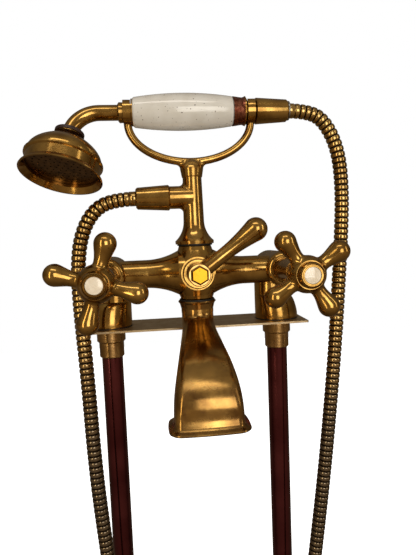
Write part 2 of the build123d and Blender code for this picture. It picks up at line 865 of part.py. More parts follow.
def spindle(x):
    """Spindle with its driving head, two ring grooves and a threaded end."""
    head_r = disc_d / 2 - 2 * running_gap
    shaft_r = spindle_d / 2
    shape = turned(
        (0, spindle_back),
        (head_r, spindle_back),
        (head_r, spindle_back + spindle_head),
        (shaft_r, spindle_back + spindle_head),
        (shaft_r, bonnet_end + square_clear),
        (0, bonnet_end + square_clear),
    )
    shape += square_bar(handle_square, bonnet_end + square_clear, spindle_end)
    for side in (-1, 1):
        lug = Pos(side * (disc_d / 2 + drive_lug_in + plain_gap), 0, 0) * Box(
            disc_d, drive_lug, drive_lug_depth
        )
        lug &= Cylinder(head_r, 4 * drive_lug_depth)
        shape += Pos(0, 0, spindle_back - drive_lug_depth / 2) * lug
    for at in spindle_ring_places():
        shape -= ring(spindle_d + 1, spindle_d - 2 * 1.4, at - 0.95, at + 0.95)
    shape -= rod(screw_d + 2 * seat_gap, handle_web_front - handle_screw_length - 1, spindle_end)
    for side in (-1, 1):
        notch = Pos(side * disc_port_r * 1.5, 0, spindle_back + spindle_head / 2)
        shape -= notch * Cylinder(disc_port_d / 2, 2 * spindle_head)
    return forwards(x, valve_up) * shape


def spindle_ring_places():
    """Forward places of the two rubber rings on a spindle."""
    cage_end = moving_disc_back + disc_thickness + disc_chamber
    return (cage_end + 2.5, cage_end + 6.5)


def spindle_rings(x):
    """Two rubber rings that seal the spindle in its headwork."""
    rings = [seal_ring(spindle_d - 1.4, 1.3, at) for at in spindle_ring_places()]
    return [forwards(x, valve_up) * piece for piece in rings]


def dome_arc(rim_r, low, rise):
    """Arc of a ball centred on Z, from a rim up to the top of the dome."""
    ball_r = (rim_r ** 2 + rise ** 2) / (2 * rise)
    centre = low + rise - ball_r
    half_turn = asin(rim_r / ball_r) / 2
    middle = (ball_r * sin(half_turn), centre + ball_r * cos(half_turn))
    return ThreePointArc((rim_r, low), middle, (0, low + rise))


def tapered_arm(root_d, root_at, ball_d, reach):
    """Arm along Z, straight at its root, that swells smoothly into a ball."""
    root_r = root_d / 2
    ball_r = ball_d / 2
    meet = radians(12)
    join = (ball_r * cos(meet), reach - ball_r * sin(meet))
    pull = (join[1] - root_at) / 3
    return turned_curves(
        Polyline((0, reach + ball_r), (0, 0), (root_r, 0), (root_r, root_at)),
        Bezier(
            (root_r, root_at),
            (root_r, root_at + pull),
            (join[0] - pull * tan(meet), join[1] - pull),
            join,
        ),
        ThreePointArc(join, (ball_r * cos(0.6), reach + ball_r * sin(0.6)), (0, reach + ball_r)),
    )


def is_handle_corner(edge):
    """Tell whether an edge is where an arm leaves the hub of an upright handle about Z."""
    centre = edge.center()
    out = sqrt(centre.X ** 2 + centre.Y ** 2)
    near = abs(centre.Z - handle_arm_plane) < handle_arm_waist_d * 0.75
    return near and edge.length > 8 and handle_hub_d * 0.2 < out < handle_hub_d * 0.8


def cross_handle(x, turn):
    """Four armed handle with a recess for its index button."""
    hub_r = handle_hub_d / 2
    recess_r = bezel_spigot_d / 2 + plain_gap
    skirt_r = handle_skirt_d / 2
    hub = turned_curves(
        Polyline((0, handle_front), (0, handle_back), (skirt_r, handle_back)),
        Line((skirt_r, handle_back), (skirt_r, handle_back + 6)),
        ThreePointArc(
            (skirt_r, handle_back + 6),
            (skirt_r + 0.9, handle_arm_plane - 17),
            (hub_r, handle_arm_plane - 4),
        ),
        ThreePointArc(
            (hub_r, handle_arm_plane - 4),
            (hub_r + 0.2, handle_arm_plane + 2),
            (handle_waist_d / 2, handle_front),
        ),
        Line((handle_waist_d / 2, handle_front), (0, handle_front)),
    )
    arm = tapered_arm(
        handle_arm_waist_d, handle_arm_waist_at, handle_ball_d, handle_arm_reach
    )
    shape = hub
    for number in range(handle_arms):
        angle = turn + number * 360 / handle_arms
        shape += Pos(0, 0, handle_arm_plane) * Rot(0, 0, angle) * Rot(0, 90, 0) * arm
    corner = [edge for edge in shape.edges() if is_handle_corner(edge)]
    shape = fillet(corner, handle_fillet)
    shape -= square_bar(handle_square + 2 * plain_gap, handle_back, handle_web)
    shape -= rod(bonnet_tip_d + 0.9, handle_back, bonnet_end + 0.7)
    shape -= rod(screw_d + 0.4, handle_web, handle_web_front)
    shape -= rod(2 * recess_r, handle_web_front, handle_front)
    return forwards(x, valve_up) * shape


def handle_screw(x):
    """Screw that holds a cross handle on its spindle."""
    top = handle_web_front + handle_screw_head
    shape = turned(
        (0, handle_web_front - handle_screw_length),
        (screw_d / 2, handle_web_front - handle_screw_length),
        (screw_d / 2, handle_web_front),
        (handle_screw_head_d / 2, handle_web_front),
        (handle_screw_head_d / 2, top - 0.5),
        (handle_screw_head_d / 2 - 0.5, top),
        (0, top),
    )
    shape -= Pos(0, 0, top - 0.5) * Box(handle_screw_head_d, 1.0, 1.0)
    return forwards(x, valve_up) * shape


def index_bezel(x):
    """Brass ring that screws into the handle and holds the porcelain disc."""
    spigot_back = handle_front - bezel_spigot + 0.6
    floor = handle_front + bezel_floor
    r = bezel_d / 2
    pocket_r = index_d / 2 + plain_gap
    shape = turned(
        (bezel_hole_d / 2, spigot_back),
        (bezel_spigot_d / 2, spigot_back),
        (bezel_spigot_d / 2, handle_front),
        (r - 0.5, handle_front),
        (r, handle_front + 0.5),
        (r, handle_front + 2.4),
        (r - 1.0, bezel_front - 0.6),
        (r - 1.7, bezel_front),
        (r - 2.2, bezel_front - bezel_step),
        (pocket_r + 1.0, bezel_front - bezel_step),
        (pocket_r + 0.7, bezel_front - 0.2),
        (pocket_r + 0.2, bezel_front - 0.2),
        (pocket_r, bezel_front - 0.4),
        (pocket_r, floor),
        (bezel_hole_d / 2, floor),
    )
    return forwards(x, valve_up) * shape


def index_disc(x):
    """Glazed porcelain button, bare on its face."""
    floor = handle_front + bezel_floor
    r = index_d / 2
    rim = floor + index_thickness
    return forwards(x, valve_up) * turned_curves(
        Polyline((0, rim + index_dome), (0, floor), (r, floor), (r, rim - 0.4), (r - 0.4, rim)),
        dome_arc(r - 0.4, rim, index_dome),
    )


def diverter_core():
    """Rotary plug in the hub. One window feeds the spout and the other the riser."""
    r = core_d / 2 - running_gap
    back = core_back + 0.5
    waist_from = back + core_rear
    waist_to = waist_from + core_waist_length
    front = waist_to + core_land
    shape = turned(
        (0, back),
        (r, back),
        (r, waist_from),
        (core_waist_d / 2, waist_from),
        (core_waist_d / 2, waist_to),
        (r, waist_to),
        (r, front),
        (stem_d / 2, front),
        (stem_d / 2, lever_back),
        (0, lever_back),
    )
    shape += square_bar(lever_square, lever_back, stem_end)
    shape -= rod(core_cavity_d, back + 2, waist_to - 2)
    port_at = body_forward - port_shift
    for angle in (0, -90):
        window = Rot(0, 0, angle) * Rot(0, 90, 0) * rod(core_window_d, 0, core_d)
        shape -= Pos(0, 0, port_at) * window
    cross_at = waist_from + core_waist_length / 2
    for angle in (0, 90):
        hole = Rot(0, 0, angle) * Rot(0, 90, 0) * rod(5, -core_d, core_d)
        shape -= Pos(0, 0, cross_at) * hole
    shape -= ring(core_d + 1, core_d - 2 * ring_section_d, front - 3.2, front - 0.8)
    shape -= rod(cap_shank_d + 2 * seat_gap, lever_front - cap_shank - 1, stem_end)
    return forwards(0, valve_up) * shape


def core_ring_place():
    """Forward place of the rubber ring on the diverter's plug."""
    return core_back + 0.5 + core_rear + core_waist_length + core_land - 2.0


def diverter_ring():
    """Rubber ring round the diverter's plug."""
    section = ring_section_d - 0.2
    centre_d = core_d - 2 * running_gap - section
    return forwards(0, valve_up) * seal_ring(centre_d, section, core_ring_place())


def diverter_gland():
    """Threaded ring that closes the hub and guides the diverter's stem."""
    bore_r = stem_d / 2 + running_gap
    shape = turned(
        (bore_r, gland_plug_back),
        (core_d / 2 - plain_gap, gland_plug_back),
        (core_d / 2 - plain_gap, boss_front),
        (gland_ring_d / 2, boss_front),
        (gland_ring_d / 2, boss_front + gland_ring - 1),
        (gland_ring_d / 2 - 1, boss_front + gland_ring),
        (bore_r, boss_front + gland_ring),
    )
    return forwards(0, valve_up) * shape


def diverter_lever():
    """Lever with a ball end on a short round hub."""
    r = lever_hub_d / 2
    hub = turned(
        (0, lever_back),
        (r - 1, lever_back),
        (r, lever_back + 1),
        (r, lever_front - 1),
        (r - 1, lever_front),
        (0, lever_front),
    )
    arm = tapered_arm(lever_root_d, lever_straight, lever_ball_d, lever_reach)
    middle = (lever_back + lever_front) / 2
    shape = hub + Pos(0, 0, middle) * Rot(0, 0, lever_turn) * Rot(0, 90, 0) * arm
    shape -= square_bar(lever_square + 2 * plain_gap, lever_back, lever_front)
    return forwards(0, valve_up) * shape


def lever_cap_screw():
    """Hexagon headed screw with a round flange that holds the lever."""
    seat = lever_front
    shape = turned(
        (0, seat - cap_shank),
        (cap_shank_d / 2, seat - cap_shank),
        (cap_shank_d / 2, seat),
        (cap_flange_d / 2 - 0.4, seat),
        (cap_flange_d / 2, seat + 0.4),
        (cap_flange_d / 2, seat + cap_flange - 0.8),
        (cap_flange_d / 2 - 0.8, seat + cap_flange),
        (0, seat + cap_flange),
    )
    outline = RegularPolygon(cap_hex / 2, 6, major_radius=False, rotation=30)
    hexagon = extrude(outline, cap_hex_height)
    hexagon = chamfer(hexagon.faces().sort_by(Axis.Z)[-1].edges(), cap_hex_bevel)
    shape += Pos(0, 0, seat + cap_flange) * hexagon
    return forwards(0, valve_up) * shape


def hose_nut(start):
    """Tapered nut along Z. Its wide end faces the threaded outlet."""
    wide_r = nut_wide_d / 2
    narrow_r = nut_narrow_d / 2
    end = start + nut_length
    thread_r = thread_d / 2 + plain_gap
    stop = start + nut_thread_depth
    return turned(
        (thread_r, start),
        (wide_r - nut_bevel, start),
        (wide_r, start + nut_bevel),
        (narrow_r, end - nut_bevel),
        (narrow_r - nut_bevel, end),
        (nut_bore_d / 2, end),
        (nut_bore_d / 2, stop),
        (thread_r, stop),
    )


def hose_tail(start):
    """Flanged brass tail along Z, held by the nut's shoulder."""
    flange_front = start + nut_thread_depth
    return turned(
        (tail_bore_d / 2, flange_front - tail_flange),
        (tail_flange_d / 2, flange_front - tail_flange),
        (tail_flange_d / 2, flange_front),
        (tail_tube_d / 2, flange_front),
        (tail_tube_d / 2, start + nut_length),
        (tail_bore_d / 2, start + nut_length),
    )


def hose_washer(start):
    """Rubber washer along Z between the tail and the threaded outlet."""
    front = start + nut_thread_depth - tail_flange
    return ring(tail_flange_d, washer_bore_d, front - washer_thickness, front)


def handset_neck():
    """Cast neck: collar at the grip, waist for the fork, then the bend down to the rose."""
    neck_r = neck_d / 2
    ring_r = collar_ring_d / 2 + 1.4
    shape = turned(
        (0, grip_start),
        (ring_r, grip_start),
        (ring_r, -fork_face),
        (waist_d / 2, -fork_face),
        (waist_d / 2, -fork_back),
        (collar_ring_d / 2 - 1.8, -fork_back),
        (collar_ring_d / 2 - 1.6, -fork_back - 3.4),
        (neck_r + 0.8, -fork_back - 4.6),
        (neck_r, -fork_back - 4.6),
        (neck_r, -neck_straight),
        (0, -neck_straight),
    )
    shape = Rot(0, 90, 0) * shape
    bend = CenterArc((-neck_straight, -neck_bend_r, 0), neck_bend_r, 90, neck_bend_angle)
    bend = Plane.XZ * bend
    start = Plane(origin=(-neck_straight, 0, 0), x_dir=(0, 1, 0), z_dir=(-1, 0, 0))
    shape += sweep(start * Circle(neck_r), path=bend)
    bore = Rot(0, 90, 0) * rod(neck_bore_d, -neck_straight, grip_start)
    shape -= bore
    shape -= sweep(start * Circle(neck_bore_d / 2), path=bend)
    socket = rod(stem_tube_d + 2 * plain_gap, grip_start - 8, grip_start)
    shape -= Rot(0, 90, 0) * socket
    return on_grip(shape)


def on_grip(shape):
    """Lay a piece, built about the grip's axis, in the cradle with the rose turned forward."""
    return Pos(0, -body_forward, grip_z) * Rot(-handset_roll, 0, 0) * shape


def rose_place():
    """Place at the end of the neck's bend that turns +Z along the rose's axis, upwards."""
    angle = radians(neck_bend_angle)
    x = -neck_straight - neck_bend_r * sin(angle)
    z = -neck_bend_r * (1 - cos(angle))
    return Pos(x, 0, z) * Rot(0, 90 - neck_bend_angle, 0)


def stem_tube():
    """Brass tube that carries the water through the porcelain grip."""
    low = grip_start - 8 + 0.2
    high = ferrule_end + 6
    shape = ring(stem_tube_d, stem_tube_bore_d, low, high)
    return on_grip(Rot(0, 90, 0) * shape)


def porcelain_grip():
    """Barrel shaped glazed grip."""
    middle = (grip_start + grip_end) / 2
    end_r = grip_end_d / 2
    bore_r = grip_bore_d / 2
    edge = 1.2
    shape = turned_curves(
        Line((bore_r, grip_start), (end_r - edge, grip_start)),
        Line((end_r - edge, grip_start), (end_r, grip_start + edge)),
        ThreePointArc((end_r, grip_start + edge), (grip_d / 2, middle), (end_r, grip_end - edge)),
        Line((end_r, grip_end - edge), (end_r - edge, grip_end)),
        Line((end_r - edge, grip_end), (bore_r, grip_end)),
        Line((bore_r, grip_end), (bore_r, grip_start)),
    )
    return on_grip(Rot(0, 90, 0) * shape)


def grip_ferrule():
    """Copper ring between the porcelain and the end cap."""
    r = ferrule_d / 2
    shape = turned(
        (grip_bore_d / 2, grip_end),
        (r, grip_end),
        (r - 1.2, ferrule_end - 2),
        (r - 0.6, ferrule_end),
        (grip_bore_d / 2, ferrule_end),
    )
    return on_grip(Rot(0, 90, 0) * shape)


def grip_end_piece():
    """Brass end of the grip: ring, waist for the fork and the threaded outlet."""
    end = grip_outlet_end()
    shape = turned(
        (washer_bore_d / 2, ferrule_end),
        (ferrule_d / 2 - 0.4, ferrule_end),
        (ferrule_d / 2, ferrule_end + 1),
        (ferrule_d / 2 - 0.6, ferrule_end + end_cap_ring),
        (ferrule_d / 2 - 2.2, fork_face),
        (waist_d / 2, fork_face),
        (waist_d / 2, fork_back),
        (thread_d / 2, fork_back),
        (thread_d / 2, end),
        (washer_bore_d / 2, end),
    )
    shape -= rod(stem_tube_d + 2 * plain_gap, ferrule_end, ferrule_end + 6.2)
    return on_grip(Rot(0, 90, 0) * shape)


def grip_nut_start():
    """Distance along X where the hand shower's hose nut starts."""
    return grip_nut_end - nut_length


def grip_outlet_end():
    """Distance along X where the grip's threaded outlet ends, against its washer."""
    return grip_nut_start() + nut_thread_depth - tail_flange - washer_thickness


def rose_washer():
    """Dark washer between the neck and the rose."""
    shape = ring(rose_washer_d, neck_d + 6 * plain_gap, 0.0, rose_washer_height)
    return on_grip(rose_place() * shape)


def rose_outline(inset):
    """Outline points of the rose from its mouth up to its neck, moved inwards by the inset."""
    top = -inset
    mouth = -rose_height
    rim_r = rose_d / 2 - inset
    band_r = rose_band_d / 2 - inset
    return [
        (rim_r, mouth),
        (rim_r - 0.6, mouth + 1.6),
        (band_r, mouth + 5.0),
        (band_r, mouth + 13.0),
        (band_r + 1.6, mouth + 14.2),
        (band_r + 1.6, mouth + 15.6),
        (band_r - 0.2, mouth + 16.6),
        (rose_neck_d / 2 - inset, top),
    ]


def rose_dome(low, high):
    """Curve of the rose from its bead up to its neck, with a full shoulder."""
    return Bezier(
        low,
        (low[0], low[1] + rose_shoulder),
        (high[0] - rose_flare, high[1] - rose_crown),
        high,
    )


def rose_shell():
    """Domed rose: rolled rim, raised bead and dome, open at its mouth."""
    outer = rose_outline(0.0)
    inner = rose_outline(rose_wall)
    dome_top = outer[-1]
    solid = turned_curves(
        Polyline((0, dome_top[1]), (0, outer[0][1]), *outer[:-1]),
        rose_dome(outer[-2], dome_top),
        Line(dome_top, (0, dome_top[1])),
    )
    low = inner[-2]
    high = (rose_neck_d / 2 - rose_wall, -rose_wall - 1)
    mouth_r = rose_d / 2 - rose_wall
    hollow = turned_curves(
        Polyline(
            (0, high[1]), (0, outer[0][1]), (mouth_r, outer[0][1]), inner[2], inner[3], low
        ),
        rose_dome(low, high),
        Line(high, (0, high[1])),
    )
    shape = solid - hollow - rod(neck_bore_d, -rose_height, 1)
    return on_grip(rose_place() * shape)


def rose_plate():
    """Perforated spray plate, set back in the rose's mouth."""
    low = -rose_height + rose_plate_up
    r = rose_band_d / 2 - rose_wall - plain_gap
    shape = rod(2 * r, low, low + rose_plate_thickness)
    holes = [Cylinder(rose_hole_d / 2, 6)]
    for circle in range(1, rose_hole_rings + 1):
        count = 6 * circle
        for number in range(count):
            place = Rot(0, 0, number * 360 / count) * Pos(circle * rose_hole_pitch, 0, 0)
            holes.append(place * Cylinder(rose_hole_d / 2, 6))
    shape -= Pos(0, 0, low) * Compound(children=holes)
    return on_grip(rose_place() * shape)


def hose_path():
    """Centre line of the hose: straight runs joined by arcs as large as the runs allow."""
    points = [Vector(x, -forward, plate_top + up) for x, forward, up in hose_route]
    runs = [b - a for a, b in zip(points, points[1:])]
    radii = []
    for before, after in zip(runs, runs[1:]):
        turn = radians(before.get_angle(after))
        radii.append(0.45 * min(before.length, after.length) / tan(turn / 2))
    print("hose runs", [round(run.length) for run in runs])
    print("hose radii", [round(radius) for radius in radii], "least", round(min(radii), 1))
    return FilletPolyline(*points, radius=radii)


def hose_circle(path, distance, diameter):
    """Circle across the hose at a distance along it."""
    at = distance / path.length
    tangent = path % at
    side = Vector(0, 1, 0) - tangent * tangent.Y
    return Plane(origin=path @ at, x_dir=side, z_dir=tangent) * Circle(diameter / 2)


def shower_hose(path):
    """Ribbed metal hose with its bore. Its two ends are plain for one diameter."""
    length = path.length
    pitch = (length - 2 * hose_d) / hose_ribs
    stations = [(0.0, hose_d), (hose_d - 0.2 * pitch, hose_d)]
    for number in range(hose_ribs):
        start = hose_d + number * pitch
        stations.append((start, hose_groove_d))
        stations.append((start + 0.16 * pitch, hose_d))
        stations.append((start + 0.70 * pitch, hose_d))
        stations.append((start + 0.86 * pitch, hose_groove_d))
    stations.append((length - hose_d, hose_groove_d))
    stations.append((length - hose_d + 0.2 * pitch, hose_d))
    stations.append((length, hose_d))
    shape = loft([hose_circle(path, at, diameter) for at, diameter in stations], ruled=True)
    return shape - hose_core(path, hose_bore_d)


def hose_core(path, diameter):
    """Plain round core along the hose's whole length."""
    return sweep(hose_circle(path, 0.0, diameter), path=path)


def hose_liner(path):
    """Rubber tube inside the metal hose."""
    return hose_core(path, liner_d) - hose_core(path, liner_bore_d)


sides = {"left": -1, "right": 1}
handles = {"hot": (-1, left_handle_turn), "cold": (1, right_handle_turn)}

for name, side in sides.items():
    keep(name + "_floor_flange", floor_flange(side * pipe_spacing / 2))
    keep(name + "_standpipe", standpipe(side * pipe_spacing / 2))
    keep(name + "_leg", leg(side))

pipe_places = [side * pipe_spacing / 2 for side in sides.values()]
valve_places = [side * valve_spacing / 2 for side in sides.values()]
groove_ring = seal_ring(pipe_d + ring_section_d + plain_gap, ring_section_d - 0.1, flange_ring_up)
keep("flange_grub_screws", *[screw for x in pipe_places for screw in flange_grub_screws(x)])
keep("flange_seal_rings", *[upright(x, 0) * groove_ring for x in pipe_places])
keep("pipe_gland_nuts", *[gland_nut(x) for x in pipe_places])
keep("pipe_olives", *[pipe_olive(x) for x in pipe_places])
keep("plate_locknuts", *[locknut(x) for x in pipe_places])
keep("leg_gaskets", *[leg_gasket(x) for x in pipe_places])
keep("bridge_plate", bridge_plate())
keep("leg_seal_rings", *[leg_ring(side) for side in sides.values()])
keep("cartridge_seals", *[cartridge_seal(x) for x in valve_places])
fixed_disc = disc_with_ports(cartridge_seat + seal_thickness, 0)
keep("fixed_discs", *[forwards(x, valve_up) * fixed_disc for x in valve_places])

keep("mixer_body", mixer_body())
keep("union_nipples", union_nipple(0), union_nipple(180))
keep("union_seals", union_washer(0), union_washer(180))
keep("riser_tee", riser_tee())
keep("spout", spout())
keep("cradle_yoke", yoke())
keep("yoke_grub_screw", yoke_grub_screw())

for name, (side, turn) in handles.items():
    x = side * valve_spacing / 2
    keep(name + "_moving_disc", moving_disc(x))
    keep(name + "_headwork", cartridge_shell(x))
    keep(name + "_spindle", spindle(x))
    keep(name + "_spindle_rings", *spindle_rings(x))
    keep(name + "_cross_handle", cross_handle(x, turn))
    keep(name + "_handle_screw", handle_screw(x))
    keep(name + "_index_bezel", index_bezel(x))
    keep(name + "_index_disc", index_disc(x))

keep("diverter_core", diverter_core())
keep("diverter_seal_ring", diverter_ring())
keep("diverter_gland", diverter_gland())
keep("diverter_lever", diverter_lever())
keep("lever_cap_screw", lever_cap_screw())

tee_side = Pos(0, -body_forward, plate_top + tee_up) * Rot(0, -90, 0)
keep("tee_hose_nut", tee_side * hose_nut(tee_reach))
keep("tee_hose_tail", tee_side * hose_tail(tee_reach))
keep("tee_hose_washer", tee_side * hose_washer(tee_reach))
grip_side = Pos(0, -body_forward, grip_z) * Rot(0, 90, 0)
keep("grip_hose_nut", grip_side * hose_nut(grip_nut_start()))
keep("grip_hose_tail", grip_side * hose_tail(grip_nut_start()))
keep("grip_hose_washer", grip_side * hose_washer(grip_nut_start()))

keep("handset_neck", handset_neck())
keep("handset_stem_tube", stem_tube())
keep("porcelain_grip", porcelain_grip())
keep("grip_ferrule", grip_ferrule())
keep("grip_end_piece", grip_end_piece())
keep("rose_washer", rose_washer())
keep("rose_shell", rose_shell())
keep("rose_plate", rose_plate())

route = hose_path()
print("hose length", round(route.length, 1))
keep("shower_hose", shower_hose(route))
keep("hose_liner", hose_liner(route))
section_area = pi * (hose_d ** 2 - hose_bore_d ** 2) / 4
print("hose volume over section times length",
      round(pieces["shower_hose"].volume / (section_area * route.length), 3))

for name, shape in pieces.items():
    export_step(shape, "parts/" + name + ".step")
print(len(pieces), "pieces")
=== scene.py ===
"""Freestanding bath mixer: finishes, hose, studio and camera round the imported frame."""
import logging
from dataclasses import dataclass, field
from enum import Enum
from math import cos, pi, radians, sin

import bmesh
import bpy
from mathutils import Matrix, Vector


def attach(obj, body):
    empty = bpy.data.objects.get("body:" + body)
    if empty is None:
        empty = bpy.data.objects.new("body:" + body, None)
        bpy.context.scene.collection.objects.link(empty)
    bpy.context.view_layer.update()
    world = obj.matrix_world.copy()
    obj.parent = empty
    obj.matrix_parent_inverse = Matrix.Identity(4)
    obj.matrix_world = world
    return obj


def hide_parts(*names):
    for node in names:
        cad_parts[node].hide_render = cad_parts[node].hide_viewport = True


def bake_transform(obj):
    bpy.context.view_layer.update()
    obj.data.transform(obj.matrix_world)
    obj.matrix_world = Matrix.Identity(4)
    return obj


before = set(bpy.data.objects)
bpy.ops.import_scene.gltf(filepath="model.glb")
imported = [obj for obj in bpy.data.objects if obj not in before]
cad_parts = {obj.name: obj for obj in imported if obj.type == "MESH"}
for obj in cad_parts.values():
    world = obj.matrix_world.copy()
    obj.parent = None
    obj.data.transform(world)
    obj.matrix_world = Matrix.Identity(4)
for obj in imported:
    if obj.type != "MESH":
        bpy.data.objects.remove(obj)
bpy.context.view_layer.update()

logger = logging.getLogger("mixer")

MM = 0.001
PLATE_TOP = 0.700
BODY_FORWARD = 0.045
GRIP_UP = 0.2097
VALVE_UP = 0.057
GROOVE = "groove"

Colour = tuple[float, float, float, float]
Span = tuple[float, float]
Socket = bpy.types.NodeSocket

WHITE: Colour = (1.0, 1.0, 1.0, 1.0)


class Body(Enum):
    """Moving bodies that new pieces ride on."""

    MIXER = "mixer"
    HANDSET = "handset"


class Slot(Enum):
    """Finishes of the record that new pieces take."""

    HOSE_BRASS = "hose_brass"
    STEEL = "steel"


class Lines(Enum):
    """Direction of the fine lines that a tool leaves on metal."""

    NONE = "none"
    TURNED_UPRIGHT = "Z"
    BRUSHED = "brushed"


def srgb(code: str) -> Colour:
    """Turn an sRGB hex colour into the linear colour that a shader reads.

    Args:
        code: Colour such as "#b08d45".

    Returns:
        Linear red, green, blue and an alpha of 1.
    """
    parts = [int(code[i:i + 2], 16) / 255 for i in (1, 3, 5)]
    linear = [p / 12.92 if p <= 0.04045 else ((p + 0.055) / 1.055) ** 2.4 for p in parts]
    return (linear[0], linear[1], linear[2], 1.0)


def add_node(
    tree: bpy.types.NodeTree,
    kind: str,
    inputs: dict[str | int, object] | None = None,
    **settings: object,
) -> bpy.types.Node:
    """Add a node, set its properties, and fill or link its inputs.

    Args:
        tree: Node tree of the material or the world.
        kind: Blender's name of the node type.
        inputs: Values, or sockets to link from, by input name or number.
        settings: Properties of the node itself.

    Returns:
        The new node.
    """
    node = tree.nodes.new(kind)
    for name, value in settings.items():
        setattr(node, name, value)
    for key, value in (inputs or {}).items():
        if isinstance(value, Socket):
            tree.links.new(value, node.inputs[key])
        else:
            node.inputs[key].default_value = value
    return node


def new_material(name: str) -> bpy.types.Material:
    """Make an empty node material.

    Args:
        name: Name of the finish.

    Returns:
        The material, with no node in it.
    """
    material = bpy.data.materials.new(name)
    material.use_nodes = True
    material.node_tree.nodes.clear()
    return material


def per_metre(size_mm: float) -> float:
    """Give the noise scale whose features measure about size_mm."""
    return 1.0 / (size_mm * MM)


def bands_per_metre(pitch_mm: float) -> float:
    """Give the wave scale whose bands repeat every pitch_mm; at 1 they are 2 pi / 20 m apart."""
    return 2 * pi / (20 * pitch_mm * MM)


class Paint:
    """Node tree of one material, with the patterns that the finishes share."""

    corner_span: Span = (0.25, 0.75)
    corner_samples: int = 6

    def __init__(self, name: str) -> None:
        """Start an empty material and read the Object coordinates.

        Args:
            name: Name of the finish.
        """
        self.material = new_material(name)
        self.tree = self.material.node_tree
        self.place = add_node(self.tree, "ShaderNodeTexCoord").outputs["Object"]

    def noise(
        self,
        size_mm: float,
        span: Span,
        result: Span = (0.0, 1.0),
        detail: float = 4.0,
        place: Socket | None = None,
    ) -> Socket:
        """Cloudy pattern, spread between two values.

        Args:
            size_mm: Size of its clouds.
            span: Noise values that become the ends of the result.
            result: Pattern at these ends.
            detail: Octaves of finer clouds.
            place: Coordinates, or none for the piece's own.

        Returns:
            The pattern.
        """
        cloud = add_node(
            self.tree, "ShaderNodeTexNoise",
            {"Vector": place or self.place, "Scale": per_metre(size_mm), "Detail": detail},
        ).outputs["Fac"]
        return add_node(
            self.tree, "ShaderNodeMapRange",
            {"Value": cloud, "From Min": span[0], "From Max": span[1],
             "To Min": result[0], "To Max": result[1]},
        ).outputs["Result"]

    def corners(self, reach_mm: float) -> Socket:
        """Pattern that is 1 deep in corners and 0 on open faces.

        Args:
            reach_mm: How far from a corner it starts.

        Returns:
            The pattern.
        """
        # Painted shade: ambient occlusion darkens corners, where little light reaches
        open_share = add_node(
            self.tree, "ShaderNodeAmbientOcclusion", {"Distance": reach_mm * MM},
            samples=self.corner_samples,
        ).outputs["AO"]
        return add_node(
            self.tree, "ShaderNodeMapRange",
            {"Value": open_share, "From Min": self.corner_span[0],
             "From Max": self.corner_span[1], "To Min": 1.0, "To Max": 0.0},
        ).outputs["Result"]

    def finish(
        self,
        base: str,
        layers: list[tuple[Socket, str]],
        relief: list[tuple[Socket, float]],
        **sockets: object,
    ) -> bpy.types.Material:
        """Lay the tones and the relief over each other and close with one Principled shader.

        Args:
            base: Colour below all layers, as sRGB hex.
            layers: Share and sRGB hex colour of each layer, from the lowest up.
            relief: Height pattern and its height in millimetres, from the lowest up.
            sockets: The shader's other inputs, with underscores for the blanks in their names.

        Returns:
            The material.
        """
        inputs = {name.replace("_", " "): value for name, value in sockets.items()}
        inputs["Base Color"] = srgb(base)
        for share, colour in layers:
            inputs["Base Color"] = add_node(
                self.tree, "ShaderNodeMix",
                {"Factor": share, "A": inputs["Base Color"], "B": srgb(colour)},
                data_type="RGBA",
            ).outputs["Result"]
        for height, height_mm in relief:
            below = {"Normal": inputs["Normal"]} if "Normal" in inputs else {}
            inputs["Normal"] = add_node(
                self.tree, "ShaderNodeBump",
                {"Height": height, "Distance": height_mm * MM, **below},
            ).outputs["Normal"]
        shader = add_node(self.tree, "ShaderNodeBsdfPrincipled", inputs).outputs["BSDF"]
        add_node(self.tree, "ShaderNodeOutputMaterial", {"Surface": shader})
        return self.material


